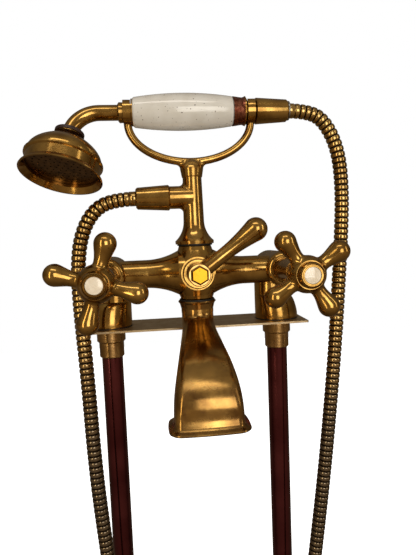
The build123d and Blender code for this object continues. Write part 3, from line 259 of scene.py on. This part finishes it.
@dataclass(frozen=True)
class AgedBrass:
    """Cast and turned yellow brass, buffed long ago and never lacquered.

    To the eye: sharp but slightly wavy reflections, thin brown patches about 14 mm across, hazy
    spots where hands wipe it, tiny dark pits, and brown painted shade in every corner.
    """

    name: str = "aged_brass"
    bright: str = "#c79e56"
    tarnished: str = "#9d7539"
    # Dark brown of the pits, which are dirt, and of the painted shade in corners and grooves
    dirt_and_shade: str = "#35200c"
    roughness: float = 0.12
    haze: float = 0.10
    haze_mm: float = 7.0
    haze_span: Span = (0.38, 0.70)
    patch_mm: float = 14.0
    patch_span: Span = (0.36, 0.68)
    patch_detail: float = 5.0
    pit_mm: float = 2.2
    pit_span: Span = (0.66, 0.74)
    pit_detail: float = 2.0
    pit_share: float = 0.45
    # Reach of the painted shade in corners
    shade_reach_mm: float = 3.5
    wave_mm: float = 11.0
    wave_height_mm: float = 0.05
    wave_span: Span = (0.0, 1.0)
    wave_detail: float = 1.5
    lines: Lines = Lines.NONE
    line_pitch_mm: float = 1.5
    line_height_mm: float = 0.03
    brushed_span: Span = (0.3, 0.7)
    brushed_detail: float = 3.0
    brushed_squeeze: float = 0.04
    turned_wobble: float = 0.6
    turned_detail: float = 2.0
    # Painted shade in the grooves of the hose
    shade_grooves: bool = False
    groove_shade_span: Span = (0.2, 0.9)
    grey: str = "#857a6c"
    grey_below: float = 0.0
    grey_fade: float = 0.12
    grey_share: float = 0.85
    face: str = "#b48622"
    face_radius: float = 0.0
    face_edge: float = 0.3 * MM

    def build(self) -> bpy.types.Material:
        """Build the node material.

        Returns:
            The material.
        """
        paint = Paint(self.name)
        patches = paint.noise(self.patch_mm, self.patch_span, detail=self.patch_detail)
        layers = [(patches, self.tarnished)]
        if self.grey_below:
            layers.append((self.lower_share(paint), self.grey))
        if self.face_radius:
            layers.append((self.face_share(paint), self.face))
        pits = paint.noise(self.pit_mm, self.pit_span, (0.0, self.pit_share), self.pit_detail)
        # Pits take the dark colour as dirt; corners take it as painted shade
        layers += [(pits, self.dirt_and_shade), (paint.corners(self.shade_reach_mm), self.dirt_and_shade)]
        # Painted shade: the grooves of the hose take the dark colour, where little light reaches
        if self.shade_grooves:
            layers.append((self.groove_shade_share(paint), self.dirt_and_shade))
        waves = paint.noise(self.wave_mm, self.wave_span, detail=self.wave_detail)
        relief = [(waves, self.wave_height_mm)]
        if self.lines is not Lines.NONE:
            relief.append((self.line_pattern(paint), self.line_height_mm))
        rough = paint.noise(
            self.haze_mm, self.haze_span, (self.roughness, self.roughness + self.haze),
        )
        return paint.finish(self.bright, layers, relief, Metallic=1.0, Roughness=rough)

    def lower_share(self, paint: Paint) -> Socket:
        """Pattern that rises below a height, where the hose turns darker grey brown.

        Args:
            paint: The material's node tree.

        Returns:
            The pattern.
        """
        height = add_node(
            paint.tree, "ShaderNodeSeparateXYZ", {"Vector": paint.place},
        ).outputs["Z"]
        return add_node(
            paint.tree, "ShaderNodeMapRange",
            {"Value": height, "From Min": self.grey_below + self.grey_fade,
             "From Max": self.grey_below, "To Min": 0.0, "To Max": self.grey_share},
        ).outputs["Result"]

    def face_share(self, paint: Paint) -> Socket:
        """Pattern that is 1 within the face of the cap's hexagon, round the lever's axis.

        Args:
            paint: The material's node tree.

        Returns:
            The pattern.
        """
        reach = add_node(
            paint.tree, "ShaderNodeVectorMath",
            {0: paint.place, 1: (0.0, 0.0, PLATE_TOP + VALVE_UP)}, operation="SUBTRACT",
        ).outputs["Vector"]
        reach = add_node(
            paint.tree, "ShaderNodeVectorMath", {0: reach, 1: (1.0, 0.0, 1.0)},
            operation="MULTIPLY",
        ).outputs["Vector"]
        reach = add_node(
            paint.tree, "ShaderNodeVectorMath", {0: reach}, operation="LENGTH",
        ).outputs["Value"]
        return add_node(
            paint.tree, "ShaderNodeMapRange",
            {"Value": reach, "From Min": self.face_radius + self.face_edge,
             "From Max": self.face_radius},
        ).outputs["Result"]

    def groove_shade_share(self, paint: Paint) -> Socket:
        """Pattern that is 1 deep in the grooves of the hose, read from its mesh.

        Args:
            paint: The material's node tree.

        Returns:
            The pattern.
        """
        # Painted shade: the deeper in a groove, the more of the dark colour
        depth = add_node(
            paint.tree, "ShaderNodeAttribute", attribute_name=GROOVE,
        ).outputs["Fac"]
        return add_node(
            paint.tree, "ShaderNodeMapRange",
            {"Value": depth, "From Min": self.groove_shade_span[0], "From Max": self.groove_shade_span[1]},
        ).outputs["Result"]

    def line_pattern(self, paint: Paint) -> Socket:
        """Fine lines of a turned nut, or of a sheet brushed along its length.

        Args:
            paint: The material's node tree.

        Returns:
            The pattern.
        """
        if self.lines is Lines.BRUSHED:
            along = add_node(
                paint.tree, "ShaderNodeMapping",
                {"Vector": paint.place, "Scale": (self.brushed_squeeze, 1.0, 1.0)},
            ).outputs["Vector"]
            return paint.noise(
                self.line_pitch_mm, self.brushed_span, detail=self.brushed_detail, place=along,
            )
        return add_node(
            paint.tree, "ShaderNodeTexWave",
            {"Vector": paint.place, "Scale": bands_per_metre(self.line_pitch_mm),
             "Distortion": self.turned_wobble, "Detail": self.turned_detail},
            bands_direction=self.lines.value,
        ).outputs["Fac"]


@dataclass(frozen=True)
class Toned:
    """Any finish of two close tones: copper, rubber, ceramic, steel or glazed porcelain.

    To the eye: faint mottling, and where a finish asks for them kiln specks, shallow dents along
    the piece, painted shade in corners and a clear glaze on top.
    """

    name: str
    first: str
    second: str
    roughness: float
    metallic: float = 0.0
    ior: float = 1.5
    mottle_mm: float = 6.0
    mottle_span: Span = (0.35, 0.68)
    haze: float = 0.05
    haze_share: float = 0.7
    haze_span: Span = (0.35, 0.70)
    speck: str = "#6a5c50"
    speck_mm: float = 0.0
    speck_from: float = 0.74
    speck_edge: float = 0.02
    dent_mm: float = 0.0
    dent_squeeze: float = 1.0
    dent_height_mm: float = 0.0
    dent_span: Span = (0.2, 0.8)
    dent_detail: float = 0.5
    # Dark colour of the painted shade in corners
    dirt_and_shade: str = "#1c130c"
    # Reach of the painted shade in corners; 0 leaves it out
    shade_reach_mm: float = 0.0
    glaze: float = 0.0
    glaze_roughness: float = 0.06

    def build(self) -> bpy.types.Material:
        """Build the node material.

        Returns:
            The material.
        """
        paint = Paint(self.name)
        layers = [(paint.noise(self.mottle_mm, self.mottle_span), self.second)]
        if self.speck_mm:
            span = (self.speck_from, self.speck_from + self.speck_edge)
            layers.append((paint.noise(self.speck_mm, span, detail=0.0), self.speck))
        # Painted shade in corners
        if self.shade_reach_mm:
            layers.append((paint.corners(self.shade_reach_mm), self.dirt_and_shade))
        relief = []
        if self.dent_mm:
            along = add_node(
                paint.tree, "ShaderNodeMapping",
                {"Vector": paint.place, "Scale": (self.dent_squeeze, 1.0, 1.0)},
            ).outputs["Vector"]
            dents = paint.noise(
                self.dent_mm, self.dent_span, detail=self.dent_detail, place=along,
            )
            relief.append((dents, self.dent_height_mm))
        sockets = {
            "Metallic": self.metallic,
            "Roughness": paint.noise(
                self.mottle_mm * self.haze_share, self.haze_span,
                (self.roughness, self.roughness + self.haze),
            ),
        }
        if self.metallic == 0.0:
            sockets["IOR"] = self.ior
        if self.glaze:
            sockets["Coat_Weight"] = self.glaze
            sockets["Coat_Roughness"] = self.glaze_roughness
        return paint.finish(self.first, layers, relief, **sockets)


class Finishes:
    """Every finish of the mixer, built once."""

    def __init__(self) -> None:
        """Build the materials."""
        # Cast bodies, arms and levers: buffed brass, golden where it is wiped
        self.brass = AgedBrass().build()
        # Spout: the same brass worn satin by hands and water, its cast face gently uneven,
        # so that it mirrors the room only as soft patches with stains of dull brown
        self.spout_brass = AgedBrass(
            name="satin_cast_brass", bright="#c89d58", tarnished="#876337", roughness=0.17,
            haze=0.15, patch_mm=22.0, haze_mm=18.0, wave_mm=30.0, wave_height_mm=0.8,
        ).build()
        # Cap screw of the lever: the face of its hexagon is still bright yellow
        self.bright_brass = AgedBrass(
            name="bright_brass", bright="#d1a768", tarnished="#b98a4c", roughness=0.12,
            haze=0.08, shade_reach_mm=1.2, face_radius=6.9 * MM,
        ).build()
        # Nuts under the plate: turned brass, duller, with rings that a lathe leaves.
        # Real rings are under 0.2 mm apart; they are drawn coarser so that they show.
        self.turned_brass = AgedBrass(
            name="turned_brass", bright="#bd9560", tarnished="#94703f", roughness=0.26,
            lines=Lines.TURNED_UPRIGHT, line_height_mm=0.05,
        ).build()
        # Bridge plate: brass sheet brushed along its length, pale tan and matt.
        # Real scratches are finer; they are drawn coarser so that they show.
        self.sheet_brass = AgedBrass(
            name="brushed_sheet_brass", bright="#d6c19f", tarnished="#bfa47c", roughness=0.36,
            lines=Lines.BRUSHED, line_pitch_mm=0.9, line_height_mm=0.02,
        ).build()
        # Hose: folded brass strip, its bands gold above, grey brown below, its grooves painted
        # black as shade
        self.hose_brass = AgedBrass(
            name="hose_brass", bright="#cfab6a", tarnished="#a58450", dirt_and_shade="#1d140c",
            roughness=0.14, haze=0.08, patch_mm=40.0, pit_mm=9.0, shade_grooves=True,
            shade_reach_mm=0.8, grey_below=0.60, wave_height_mm=0.0,
        ).build()
        # Spray plate: brass sheet, dull brown with water marks
        self.plate_brass = AgedBrass(
            name="spray_plate_brass", bright="#8f6a3c", tarnished="#5f4322", roughness=0.24,
            patch_mm=6.0,
        ).build()
        # Standpipes: dark toned copper tube, wine red in the light
        self.pipe = Toned(
            "dark_toned_copper", "#743a3d", "#5a282b", 0.15, metallic=1.0, haze=0.06,
            mottle_mm=40.0,
        ).build()
        # Ferrule of the grip: worn copper, brown with a red shine, with painted shade in its
        # corners
        self.copper = Toned(
            "worn_copper", "#a5674f", "#6a3526", 0.24, metallic=1.0, haze=0.12, mottle_mm=3.0,
            shade_reach_mm=1.5,
        ).build()
        # Washers and gaskets: black rubber with a dull skin
        self.rubber = Toned("black_rubber", "#191715", "#0e0d0c", 0.55, mottle_mm=2.0).build()
        # Washer over the rose: pressed brown fibre with a soft gleam
        self.fibre = Toned("brown_fibre", "#3a231b", "#26140f", 0.4, mottle_mm=2.0).build()
        # Grip: glazed porcelain, grey cream, a hand made skin with kiln specks
        self.porcelain = Toned(
            "glazed_porcelain", "#dcd5ca", "#cfc6b8", 0.09, mottle_mm=18.0, speck_mm=1.6,
            speck_from=0.79, dent_mm=24.0, dent_squeeze=0.3, dent_height_mm=2.2, glaze=1.0,
        ).build()
        # Index buttons: warm white porcelain under a clear glaze, left bare
        self.enamel = Toned(
            "white_index_glaze", "#f2e3cc", "#e6d3b8", 0.14, mottle_mm=5.0, glaze=1.0,
        ).build()
        # Valve discs: dense ground ceramic, chalky white and matt
        self.ceramic = Toned("ground_ceramic", "#d8d4cc", "#cbc6bc", 0.4).build()
        # Screws, and the washer at the hose: plain steel, a cool grey gleam beside the brass
        self.steel = Toned("steel", "#b4b3ae", "#93928d", 0.26, metallic=1.0).build()


def dress(material: bpy.types.Material, *nodes: str) -> None:
    """Give a finish to every slot of the named nodes.

    Args:
        material: The finish.
        nodes: Names of the nodes.
    """
    for name in nodes:
        for slot in bpy.data.objects[name].material_slots:
            slot.material = material
        logger.info("%s: %s", name, material.name)


def deselect_all() -> None:
    """Leave nothing selected."""
    for item in bpy.context.selected_objects:
        item.select_set(False)


@dataclass
class Stand:
    """Floor flanges, standpipes, bridge plate and the fittings under it."""

    def build(self, finishes: Finishes) -> None:
        """Dress the stand's nodes.

        Args:
            finishes: Every finish.
        """
        dress(finishes.brass, "left_floor_flange", "right_floor_flange")
        dress(finishes.pipe, "left_standpipe", "right_standpipe")
        dress(finishes.turned_brass, "pipe_gland_nuts", "pipe_olives", "plate_locknuts")
        dress(finishes.sheet_brass, "bridge_plate")
        dress(finishes.rubber, "flange_seal_rings", "leg_gaskets")
        dress(finishes.steel, "flange_grub_screws")


@dataclass
class Mixer:
    """Legs, cast body, spout, riser and cradle."""

    def build(self, finishes: Finishes) -> None:
        """Dress the nodes of the mixer's fixed metalwork.

        Args:
            finishes: Every finish.
        """
        dress(finishes.spout_brass, "spout")
        dress(finishes.brass, "left_leg", "right_leg", "mixer_body", "riser_tee",
              "cradle_yoke", "tee_hose_nut", "diverter_gland")
        dress(finishes.turned_brass, "union_nipples", "tee_hose_tail")
        dress(finishes.rubber, "leg_seal_rings", "union_seals", "tee_hose_washer")
        dress(finishes.steel, "yoke_grub_screw")


@dataclass
class Taps:
    """Hot and cold cartridges with their cross handles and bare index buttons."""

    sides: tuple[str, ...] = ("hot", "cold")

    def build(self, finishes: Finishes) -> None:
        """Dress the nodes of both taps.

        Args:
            finishes: Every finish.
        """
        for side in self.sides:
            dress(finishes.brass, side + "_headwork", side + "_cross_handle",
                  side + "_index_bezel")
            dress(finishes.turned_brass, side + "_spindle")
            dress(finishes.enamel, side + "_index_disc")
            dress(finishes.ceramic, side + "_moving_disc")
            dress(finishes.rubber, side + "_spindle_rings")
            dress(finishes.steel, side + "_handle_screw")
        dress(finishes.rubber, "cartridge_seals")
        dress(finishes.ceramic, "fixed_discs")


@dataclass
class Diverter:
    """Diverter plug, its lever and the cap screw."""

    def build(self, finishes: Finishes) -> None:
        """Dress the diverter's nodes.

        Args:
            finishes: Every finish.
        """
        dress(finishes.brass, "diverter_lever")
        dress(finishes.bright_brass, "lever_cap_screw")
        dress(finishes.turned_brass, "diverter_core")
        dress(finishes.rubber, "diverter_seal_ring")


@dataclass
class HandShower:
    """Hand shower: rose, neck, porcelain grip, its fittings and a bright washer at the hose."""

    nut_end: float = 0.095
    washer_outer: float = 9.0 * MM
    washer_inner: float = 7.4 * MM
    washer_thickness: float = 1.6 * MM
    washer_edge: float = 0.4 * MM
    washer_sides: int = 48
    edge_steps: int = 2
    smooth_below: float = radians(35)

    def build(self, finishes: Finishes) -> None:
        """Dress the hand shower's nodes and add the washer.

        Args:
            finishes: Every finish.
        """
        dress(finishes.brass, "handset_neck", "rose_shell", "grip_end_piece", "grip_hose_nut")
        dress(finishes.turned_brass, "handset_stem_tube", "grip_hose_tail")
        dress(finishes.plate_brass, "rose_plate")
        dress(finishes.fibre, "rose_washer")
        dress(finishes.rubber, "grip_hose_washer")
        dress(finishes.porcelain, "porcelain_grip")
        dress(finishes.copper, "grip_ferrule")
        self.washer(finishes.steel)

    def washer(self, material: bpy.types.Material) -> bpy.types.Object:
        """Model the bright metal washer between the upper nut and the hose.

        Args:
            material: Its finish.

        Returns:
            The washer.
        """
        deselect_all()
        middle = (self.nut_end + self.washer_thickness / 2, -BODY_FORWARD, PLATE_TOP + GRIP_UP)
        bpy.ops.mesh.primitive_cylinder_add(
            vertices=self.washer_sides, radius=self.washer_outer, depth=self.washer_thickness,
            end_fill_type="NOTHING", location=middle, rotation=(0.0, pi / 2, 0.0),
        )
        washer = bpy.context.object
        washer.name = "hose_end_washer"
        bpy.ops.object.transform_apply(location=True, rotation=True)
        wall = washer.modifiers.new("wall", "SOLIDIFY")
        wall.thickness = self.washer_outer - self.washer_inner
        wall.offset = -1.0
        edge = washer.modifiers.new("edge", "BEVEL")
        edge.width = self.washer_edge
        edge.segments = self.edge_steps
        for modifier in ("wall", "edge"):
            bpy.ops.object.modifier_apply(modifier=modifier)
        bpy.ops.object.shade_smooth_by_angle(angle=self.smooth_below)
        washer.data.materials.append(material)
        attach(washer, Body.HANDSET.value)
        logger.info("%s: built", washer.name)
        return washer


@dataclass
class Hose:
    """Ribbed brass hose from the riser's outlet to the end of the hand shower."""

    name: str = "ribbed_hose"
    diameter: float = 14.0 * MM
    groove: float = 12.4 * MM
    pitch: float = 5.4 * MM
    plain_end: float = 5.2 * MM
    end_round: float = 0.4 * MM
    end_proud: float = 0.8
    sides: int = 24
    steps_per_point: int = 24
    blend_from: float = -0.085
    blend_to: float = 0.085
    profile: tuple[tuple[float, float], ...] = (
        (0.00, 0.0), (0.07, 0.70), (0.17, 0.93), (0.30, 1.0), (0.52, 1.0), (0.65, 0.93),
        (0.75, 0.70), (0.82, 0.0),
    )
    route: list[tuple[float, float, float]] = field(default_factory=lambda: [
        (-0.0545, 0.0450, 0.1295),
        (-0.0775, 0.0450, 0.1290),
        (-0.0960, 0.0453, 0.1185),
        (-0.1080, 0.0456, 0.0960),
        (-0.1124, 0.0464, 0.0660),
        (-0.1122, 0.0480, 0.0300),
        (-0.1102, 0.0490, -0.0120),
        (-0.1084, 0.0498, -0.0600),
        (-0.1072, 0.0503, -0.1080),
        (-0.1048, 0.0507, -0.1580),
        (-0.1005, 0.0511, -0.2130),
        (-0.0950, 0.0513, -0.2760),
        (-0.0850, 0.0508, -0.3400),
        (-0.0645, 0.0500, -0.3980),
        (-0.0290, 0.0490, -0.4340),
        (0.0190, 0.0482, -0.4460),
        (0.0635, 0.0478, -0.4280),
        (0.0890, 0.0478, -0.3880),
        (0.1005, 0.0480, -0.3330),
        (0.1090, 0.0483, -0.2750),
        (0.1165, 0.0484, -0.2200),
        (0.1245, 0.0484, -0.1580),
        (0.1318, 0.0483, -0.0920),
        (0.1382, 0.0480, -0.0280),
        (0.1430, 0.0476, 0.0340),
        (0.1472, 0.0470, 0.0900),
        (0.1490, 0.0463, 0.1350),
        (0.1455, 0.0456, 0.1720),
        (0.1330, 0.0452, 0.1985),
        (0.1170, 0.0450, 0.2090),
        (0.0950, 0.0450, 0.2097),
    ])

    def centre_line(self) -> list[Vector]:
        """Read the smooth centre line from the NURBS spline of the route.

        Returns:
            Points along the hose, close together.
        """
        curve = bpy.data.curves.new("hose_route", "CURVE")
        curve.dimensions = "3D"
        curve.resolution_u = self.steps_per_point
        spline = curve.splines.new("NURBS")
        spline.points.add(len(self.route) - 1)
        for point, (x, forward, up) in zip(spline.points, self.route):
            point.co = (x, -forward, PLATE_TOP + up, 1.0)
        spline.order_u = 3
        spline.use_endpoint_u = True
        carrier = bpy.data.objects.new("hose_route", curve)
        bpy.context.scene.collection.objects.link(carrier)
        bpy.context.view_layer.update()
        line = bpy.data.meshes.new_from_object(carrier)
        points = [vertex.co.copy() for vertex in line.vertices]
        bpy.data.meshes.remove(line)
        bpy.data.objects.remove(carrier)
        bpy.data.curves.remove(curve)
        return points

    def stations(self, length: float) -> list[tuple[float, float]]:
        """List how proud the hose is along its length.

        Args:
            length: Length of the hose.

        Returns:
            Distance along it, and 0 in a groove to 1 on a band.
        """
        count = int((length - 2 * self.plain_end) / self.pitch)
        start = (length - count * self.pitch) / 2
        soft = self.end_round
        marks = [(0.0, self.end_proud), (soft, 1.0), (start - soft, 1.0)]
        for number in range(count):
            for share, proud in self.profile:
                marks.append((start + (number + share) * self.pitch, proud))
        marks += [(length - start + soft, 1.0), (length - soft, 1.0), (length, self.end_proud)]
        return marks

    def tube(self, points: list[Vector], reach: list[float]) -> bpy.types.Mesh:
        """Build the ribbed tube along the centre line.

        Args:
            points: The centre line.
            reach: Distance along it of each of its points.

        Returns:
            The mesh, with how deep each point lies in a groove.
        """
        mesh = bmesh.new()
        depth = mesh.verts.layers.float.new(GROOVE)
        rings = []
        index = 0
        for distance, proud in self.stations(reach[-1]):
            while index < len(points) - 2 and reach[index + 1] < distance:
                index += 1
            share = (distance - reach[index]) / (reach[index + 1] - reach[index])
            centre = points[index].lerp(points[index + 1], share)
            ahead = points[min(index + 2, len(points) - 1)] - points[max(index - 1, 0)]
            ahead.normalize()
            across = Vector((0, 1, 0)) - ahead * ahead.y
            across.normalize()
            other = ahead.cross(across)
            radius = (self.groove + (self.diameter - self.groove) * proud) / 2
            ring = []
            for number in range(self.sides):
                angle = 2 * pi * number / self.sides
                place = centre + (across * cos(angle) + other * sin(angle)) * radius
                vertex = mesh.verts.new(place)
                vertex[depth] = 1.0 - proud
                ring.append(vertex)
            rings.append(ring)
        for low, high in zip(rings, rings[1:]):
            for number in range(self.sides):
                following = (number + 1) % self.sides
                mesh.faces.new((low[number], low[following], high[following], high[number]))
        mesh.faces.new(list(reversed(rings[0])))
        mesh.faces.new(rings[-1])
        bmesh.ops.recalc_face_normals(mesh, faces=mesh.faces)
        data = bpy.data.meshes.new(self.name)
        mesh.to_mesh(data)
        mesh.free()
        for face in data.polygons:
            face.use_smooth = len(face.vertices) == 4
        return data

    def build(self, material: bpy.types.Material) -> bpy.types.Object:
        """Args:
            material: Its finish.

        Returns:
            The hose.
        """
        points = self.centre_line()
        reach = [0.0]
        for before, after in zip(points, points[1:]):
            reach.append(reach[-1] + (after - before).length)
        data = self.tube(points, reach)
        hose = bpy.data.objects.new(self.name, data)
        data.materials.append(material)
        bpy.context.scene.collection.objects.link(hose)
        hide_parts("shower_hose", "hose_liner")
        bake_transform(hose)
        logger.info("%s: %.0f mm long", self.name, reach[-1] / MM)
        return hose


@dataclass
class Camera:
    """The photograph's camera."""

    location: tuple[float, float, float] = (-0.0332, -0.4964, 0.7886)
    lens: float = 30.03
    yaw: float = 0.0992
    pitch: float = 0.083
    roll: float = -0.039
    nearest: float = 0.01

    def build(self) -> None:
        """Make the camera and use it."""
        ahead = Vector((sin(self.yaw) * cos(self.pitch), cos(self.yaw) * cos(self.pitch),
                        -sin(self.pitch)))
        right = Vector((cos(self.yaw), -sin(self.yaw), 0.0))
        up = right.cross(ahead)
        across = right * cos(self.roll) + up * sin(self.roll)
        above = -right * sin(self.roll) + up * cos(self.roll)
        data = bpy.data.cameras.new("photo_camera")
        data.lens = self.lens
        data.clip_start = self.nearest
        camera = bpy.data.objects.new("photo_camera", data)
        turn = Matrix((across, above, -ahead)).transposed().to_4x4()
        camera.matrix_world = Matrix.Translation(self.location) @ turn
        bpy.context.scene.collection.objects.link(camera)
        bpy.context.scene.camera = camera
        logger.info("camera: built")


@dataclass(frozen=True)
class Softbox:
    """A softly lit panel. Angles are as seen from the mixer, from the user's side."""

    name: str
    azimuth: float
    elevation: float
    width: float
    height: float
    glow: float
    colour: str = "#ffffff"
    distance: float = 1.6

    def build(self, target: Vector) -> None:
        """Hang the panel so that it faces the mixer.

        Args:
            target: Middle of the mixer.
        """
        side = radians(self.azimuth)
        rise = radians(self.elevation)
        away = Vector((sin(side) * cos(rise), -cos(side) * cos(rise), sin(rise)))
        data = bpy.data.lights.new(self.name, "AREA")
        data.shape = "RECTANGLE"
        data.size = 2 * self.distance * sin(radians(self.width) / 2)
        data.size_y = 2 * self.distance * sin(radians(self.height) / 2)
        data.energy = self.glow * pi * data.size * data.size_y
        data.color = srgb(self.colour)[:3]
        lamp = bpy.data.objects.new(self.name, data)
        lamp.location = target + away * self.distance
        lamp.rotation_euler = away.to_track_quat("Z", "Y").to_euler()
        lamp.visible_camera = False
        bpy.context.scene.collection.objects.link(lamp)
        logger.info("%s: built", self.name)


@dataclass
class Studio:
    """Pale floor, white surroundings, a warm grey screen for reflections, and soft panels."""

    target: Vector = field(default_factory=lambda: Vector((0.0, -0.06, 0.78)))
    ambient: float = 0.48
    floor_size: float = 6.0
    floor_tone: str = "#f2f2f0"
    screen_radius: float = 2.6
    screen_low: float = -0.4
    screen_high: float = 3.4
    screen_sides: int = 48
    # Tone of the screen by the sine of its elevation, from straight down to straight up
    screen_tones: tuple[tuple[float, str], ...] = (
        (-1.0, "#6c5e4e"), (-0.45, "#8a7a66"), (-0.16, "#94836c"), (0.02, "#776853"),
        (0.30, "#857a6b"), (0.62, "#968c7e"), (1.0, "#aaa195"),
    )
    screen_front: float = 1.05
    screen_back: float = 0.46
    # From the front to the side, where the screen grows darker
    screen_fade: Span = (-0.75, 0.25)
    softboxes: tuple[Softbox, ...] = (
        Softbox("window", 12.0, 6.0, 25.0, 34.0, 3.0, "#fffaf0"),
        Softbox("side_window", -38.0, 8.0, 8.0, 56.0, 4.6, "#ffeec6"),
        Softbox("far_window", 62.0, 14.0, 7.0, 40.0, 3.0, "#fff6e4"),
        Softbox("overhead", -10.0, 58.0, 44.0, 9.0, 3.0, "#fff8ee"),
    )

    def world(self) -> None:
        """White where it is seen, reflected or seen through, and plain grey light elsewhere."""
        world = bpy.data.worlds.new("studio")
        world.use_nodes = True
        tree = world.node_tree
        tree.nodes.clear()
        path = add_node(tree, "ShaderNodeLightPath").outputs
        seen = add_node(
            tree, "ShaderNodeMath", {0: path["Is Camera Ray"], 1: path["Is Glossy Ray"]},
            operation="MAXIMUM",
        ).outputs[0]
        seen = add_node(
            tree, "ShaderNodeMath", {0: seen, 1: path["Is Transmission Ray"]},
            operation="MAXIMUM",
        ).outputs[0]
        strength = add_node(
            tree, "ShaderNodeMapRange",
            {"Value": seen, "To Min": self.ambient, "To Max": 1.0},
        ).outputs["Result"]
        glow = add_node(
            tree, "ShaderNodeBackground",
            {"Color": WHITE, "Strength": strength},
        ).outputs["Background"]
        add_node(tree, "ShaderNodeOutputWorld", {"Surface": glow})
        bpy.context.scene.world = world

    def floor(self) -> None:
        """Pale floor that shows white to the camera and keeps the mixer's shadow."""
        material = new_material("pale_floor")
        tree = material.node_tree
        matt = add_node(
            tree, "ShaderNodeBsdfDiffuse", {"Color": srgb(self.floor_tone)},
        ).outputs["BSDF"]
        seen = add_node(tree, "ShaderNodeLightPath").outputs["Is Camera Ray"]
        lift = add_node(
            tree, "ShaderNodeEmission", {"Color": WHITE, "Strength": seen},
        ).outputs["Emission"]
        both = add_node(tree, "ShaderNodeAddShader", {0: matt, 1: lift}).outputs["Shader"]
        add_node(tree, "ShaderNodeOutputMaterial", {"Surface": both})
        deselect_all()
        bpy.ops.mesh.primitive_plane_add(size=self.floor_size)
        floor = bpy.context.object
        floor.name = "studio_floor"
        floor.data.materials.append(material)
        floor.visible_glossy = False

    def screen(self) -> None:
        """Surroundings that only reflections see, so that the metal has depth."""
        material = new_material("screen_for_reflections")
        tree = material.node_tree
        place = add_node(tree, "ShaderNodeTexCoord").outputs["Object"]
        away = add_node(
            tree, "ShaderNodeVectorMath", {0: place, 1: tuple(self.target)},
            operation="SUBTRACT",
        ).outputs["Vector"]
        away = add_node(
            tree, "ShaderNodeVectorMath", {0: away}, operation="NORMALIZE",
        ).outputs["Vector"]
        parts = add_node(tree, "ShaderNodeSeparateXYZ", {0: away}).outputs
        share = add_node(
            tree, "ShaderNodeMapRange",
            {"Value": parts["Z"], "From Min": -1.0, "From Max": 1.0},
        ).outputs["Result"]
        strength = add_node(
            tree, "ShaderNodeMapRange",
            {"Value": parts["Y"], "From Min": self.screen_fade[0],
             "From Max": self.screen_fade[1], "To Min": self.screen_front,
             "To Max": self.screen_back},
        ).outputs["Result"]
        ramp = add_node(tree, "ShaderNodeValToRGB", {"Fac": share})
        stops = ramp.color_ramp.elements
        while len(stops) < len(self.screen_tones):
            stops.new(0.5)
        # Places first, because a stop that moves past another changes its number
        for stop, (sine, _) in zip(stops, self.screen_tones):
            stop.position = (sine + 1) / 2
        for stop, (_, code) in zip(stops, self.screen_tones):
            stop.color = srgb(code)
        glow = add_node(
            tree, "ShaderNodeEmission", {"Color": ramp.outputs["Color"], "Strength": strength},
        ).outputs["Emission"]
        add_node(tree, "ShaderNodeOutputMaterial", {"Surface": glow})
        deselect_all()
        bpy.ops.mesh.primitive_cylinder_add(
            vertices=self.screen_sides, radius=self.screen_radius,
            depth=self.screen_high - self.screen_low,
            location=(0.0, 0.0, (self.screen_high + self.screen_low) / 2),
        )
        bpy.ops.object.transform_apply(location=True)
        screen = bpy.context.object
        screen.name = "screen_for_reflections"
        screen.data.materials.append(material)
        screen.visible_camera = False
        screen.visible_diffuse = False
        screen.visible_shadow = False
        screen.visible_transmission = False
        screen.visible_volume_scatter = False

    def build(self) -> None:
        """Build the studio."""
        self.world()
        self.floor()
        self.screen()
        for softbox in self.softboxes:
            softbox.build(self.target)
        bpy.context.scene.view_settings.view_transform = "Standard"


def main() -> None:
    """Build every class in order."""
    logging.basicConfig(level=logging.INFO, format="%(name)s: %(message)s")
    deselect_all()
    finishes = Finishes()
    Camera().build()
    Hose().build(finishes.hose_brass)
    Stand().build(finishes)
    Mixer().build(finishes)
    Taps().build(finishes)
    Diverter().build(finishes)
    HandShower().build(finishes)
    Studio().build()


if __name__ == "__main__":
    main()
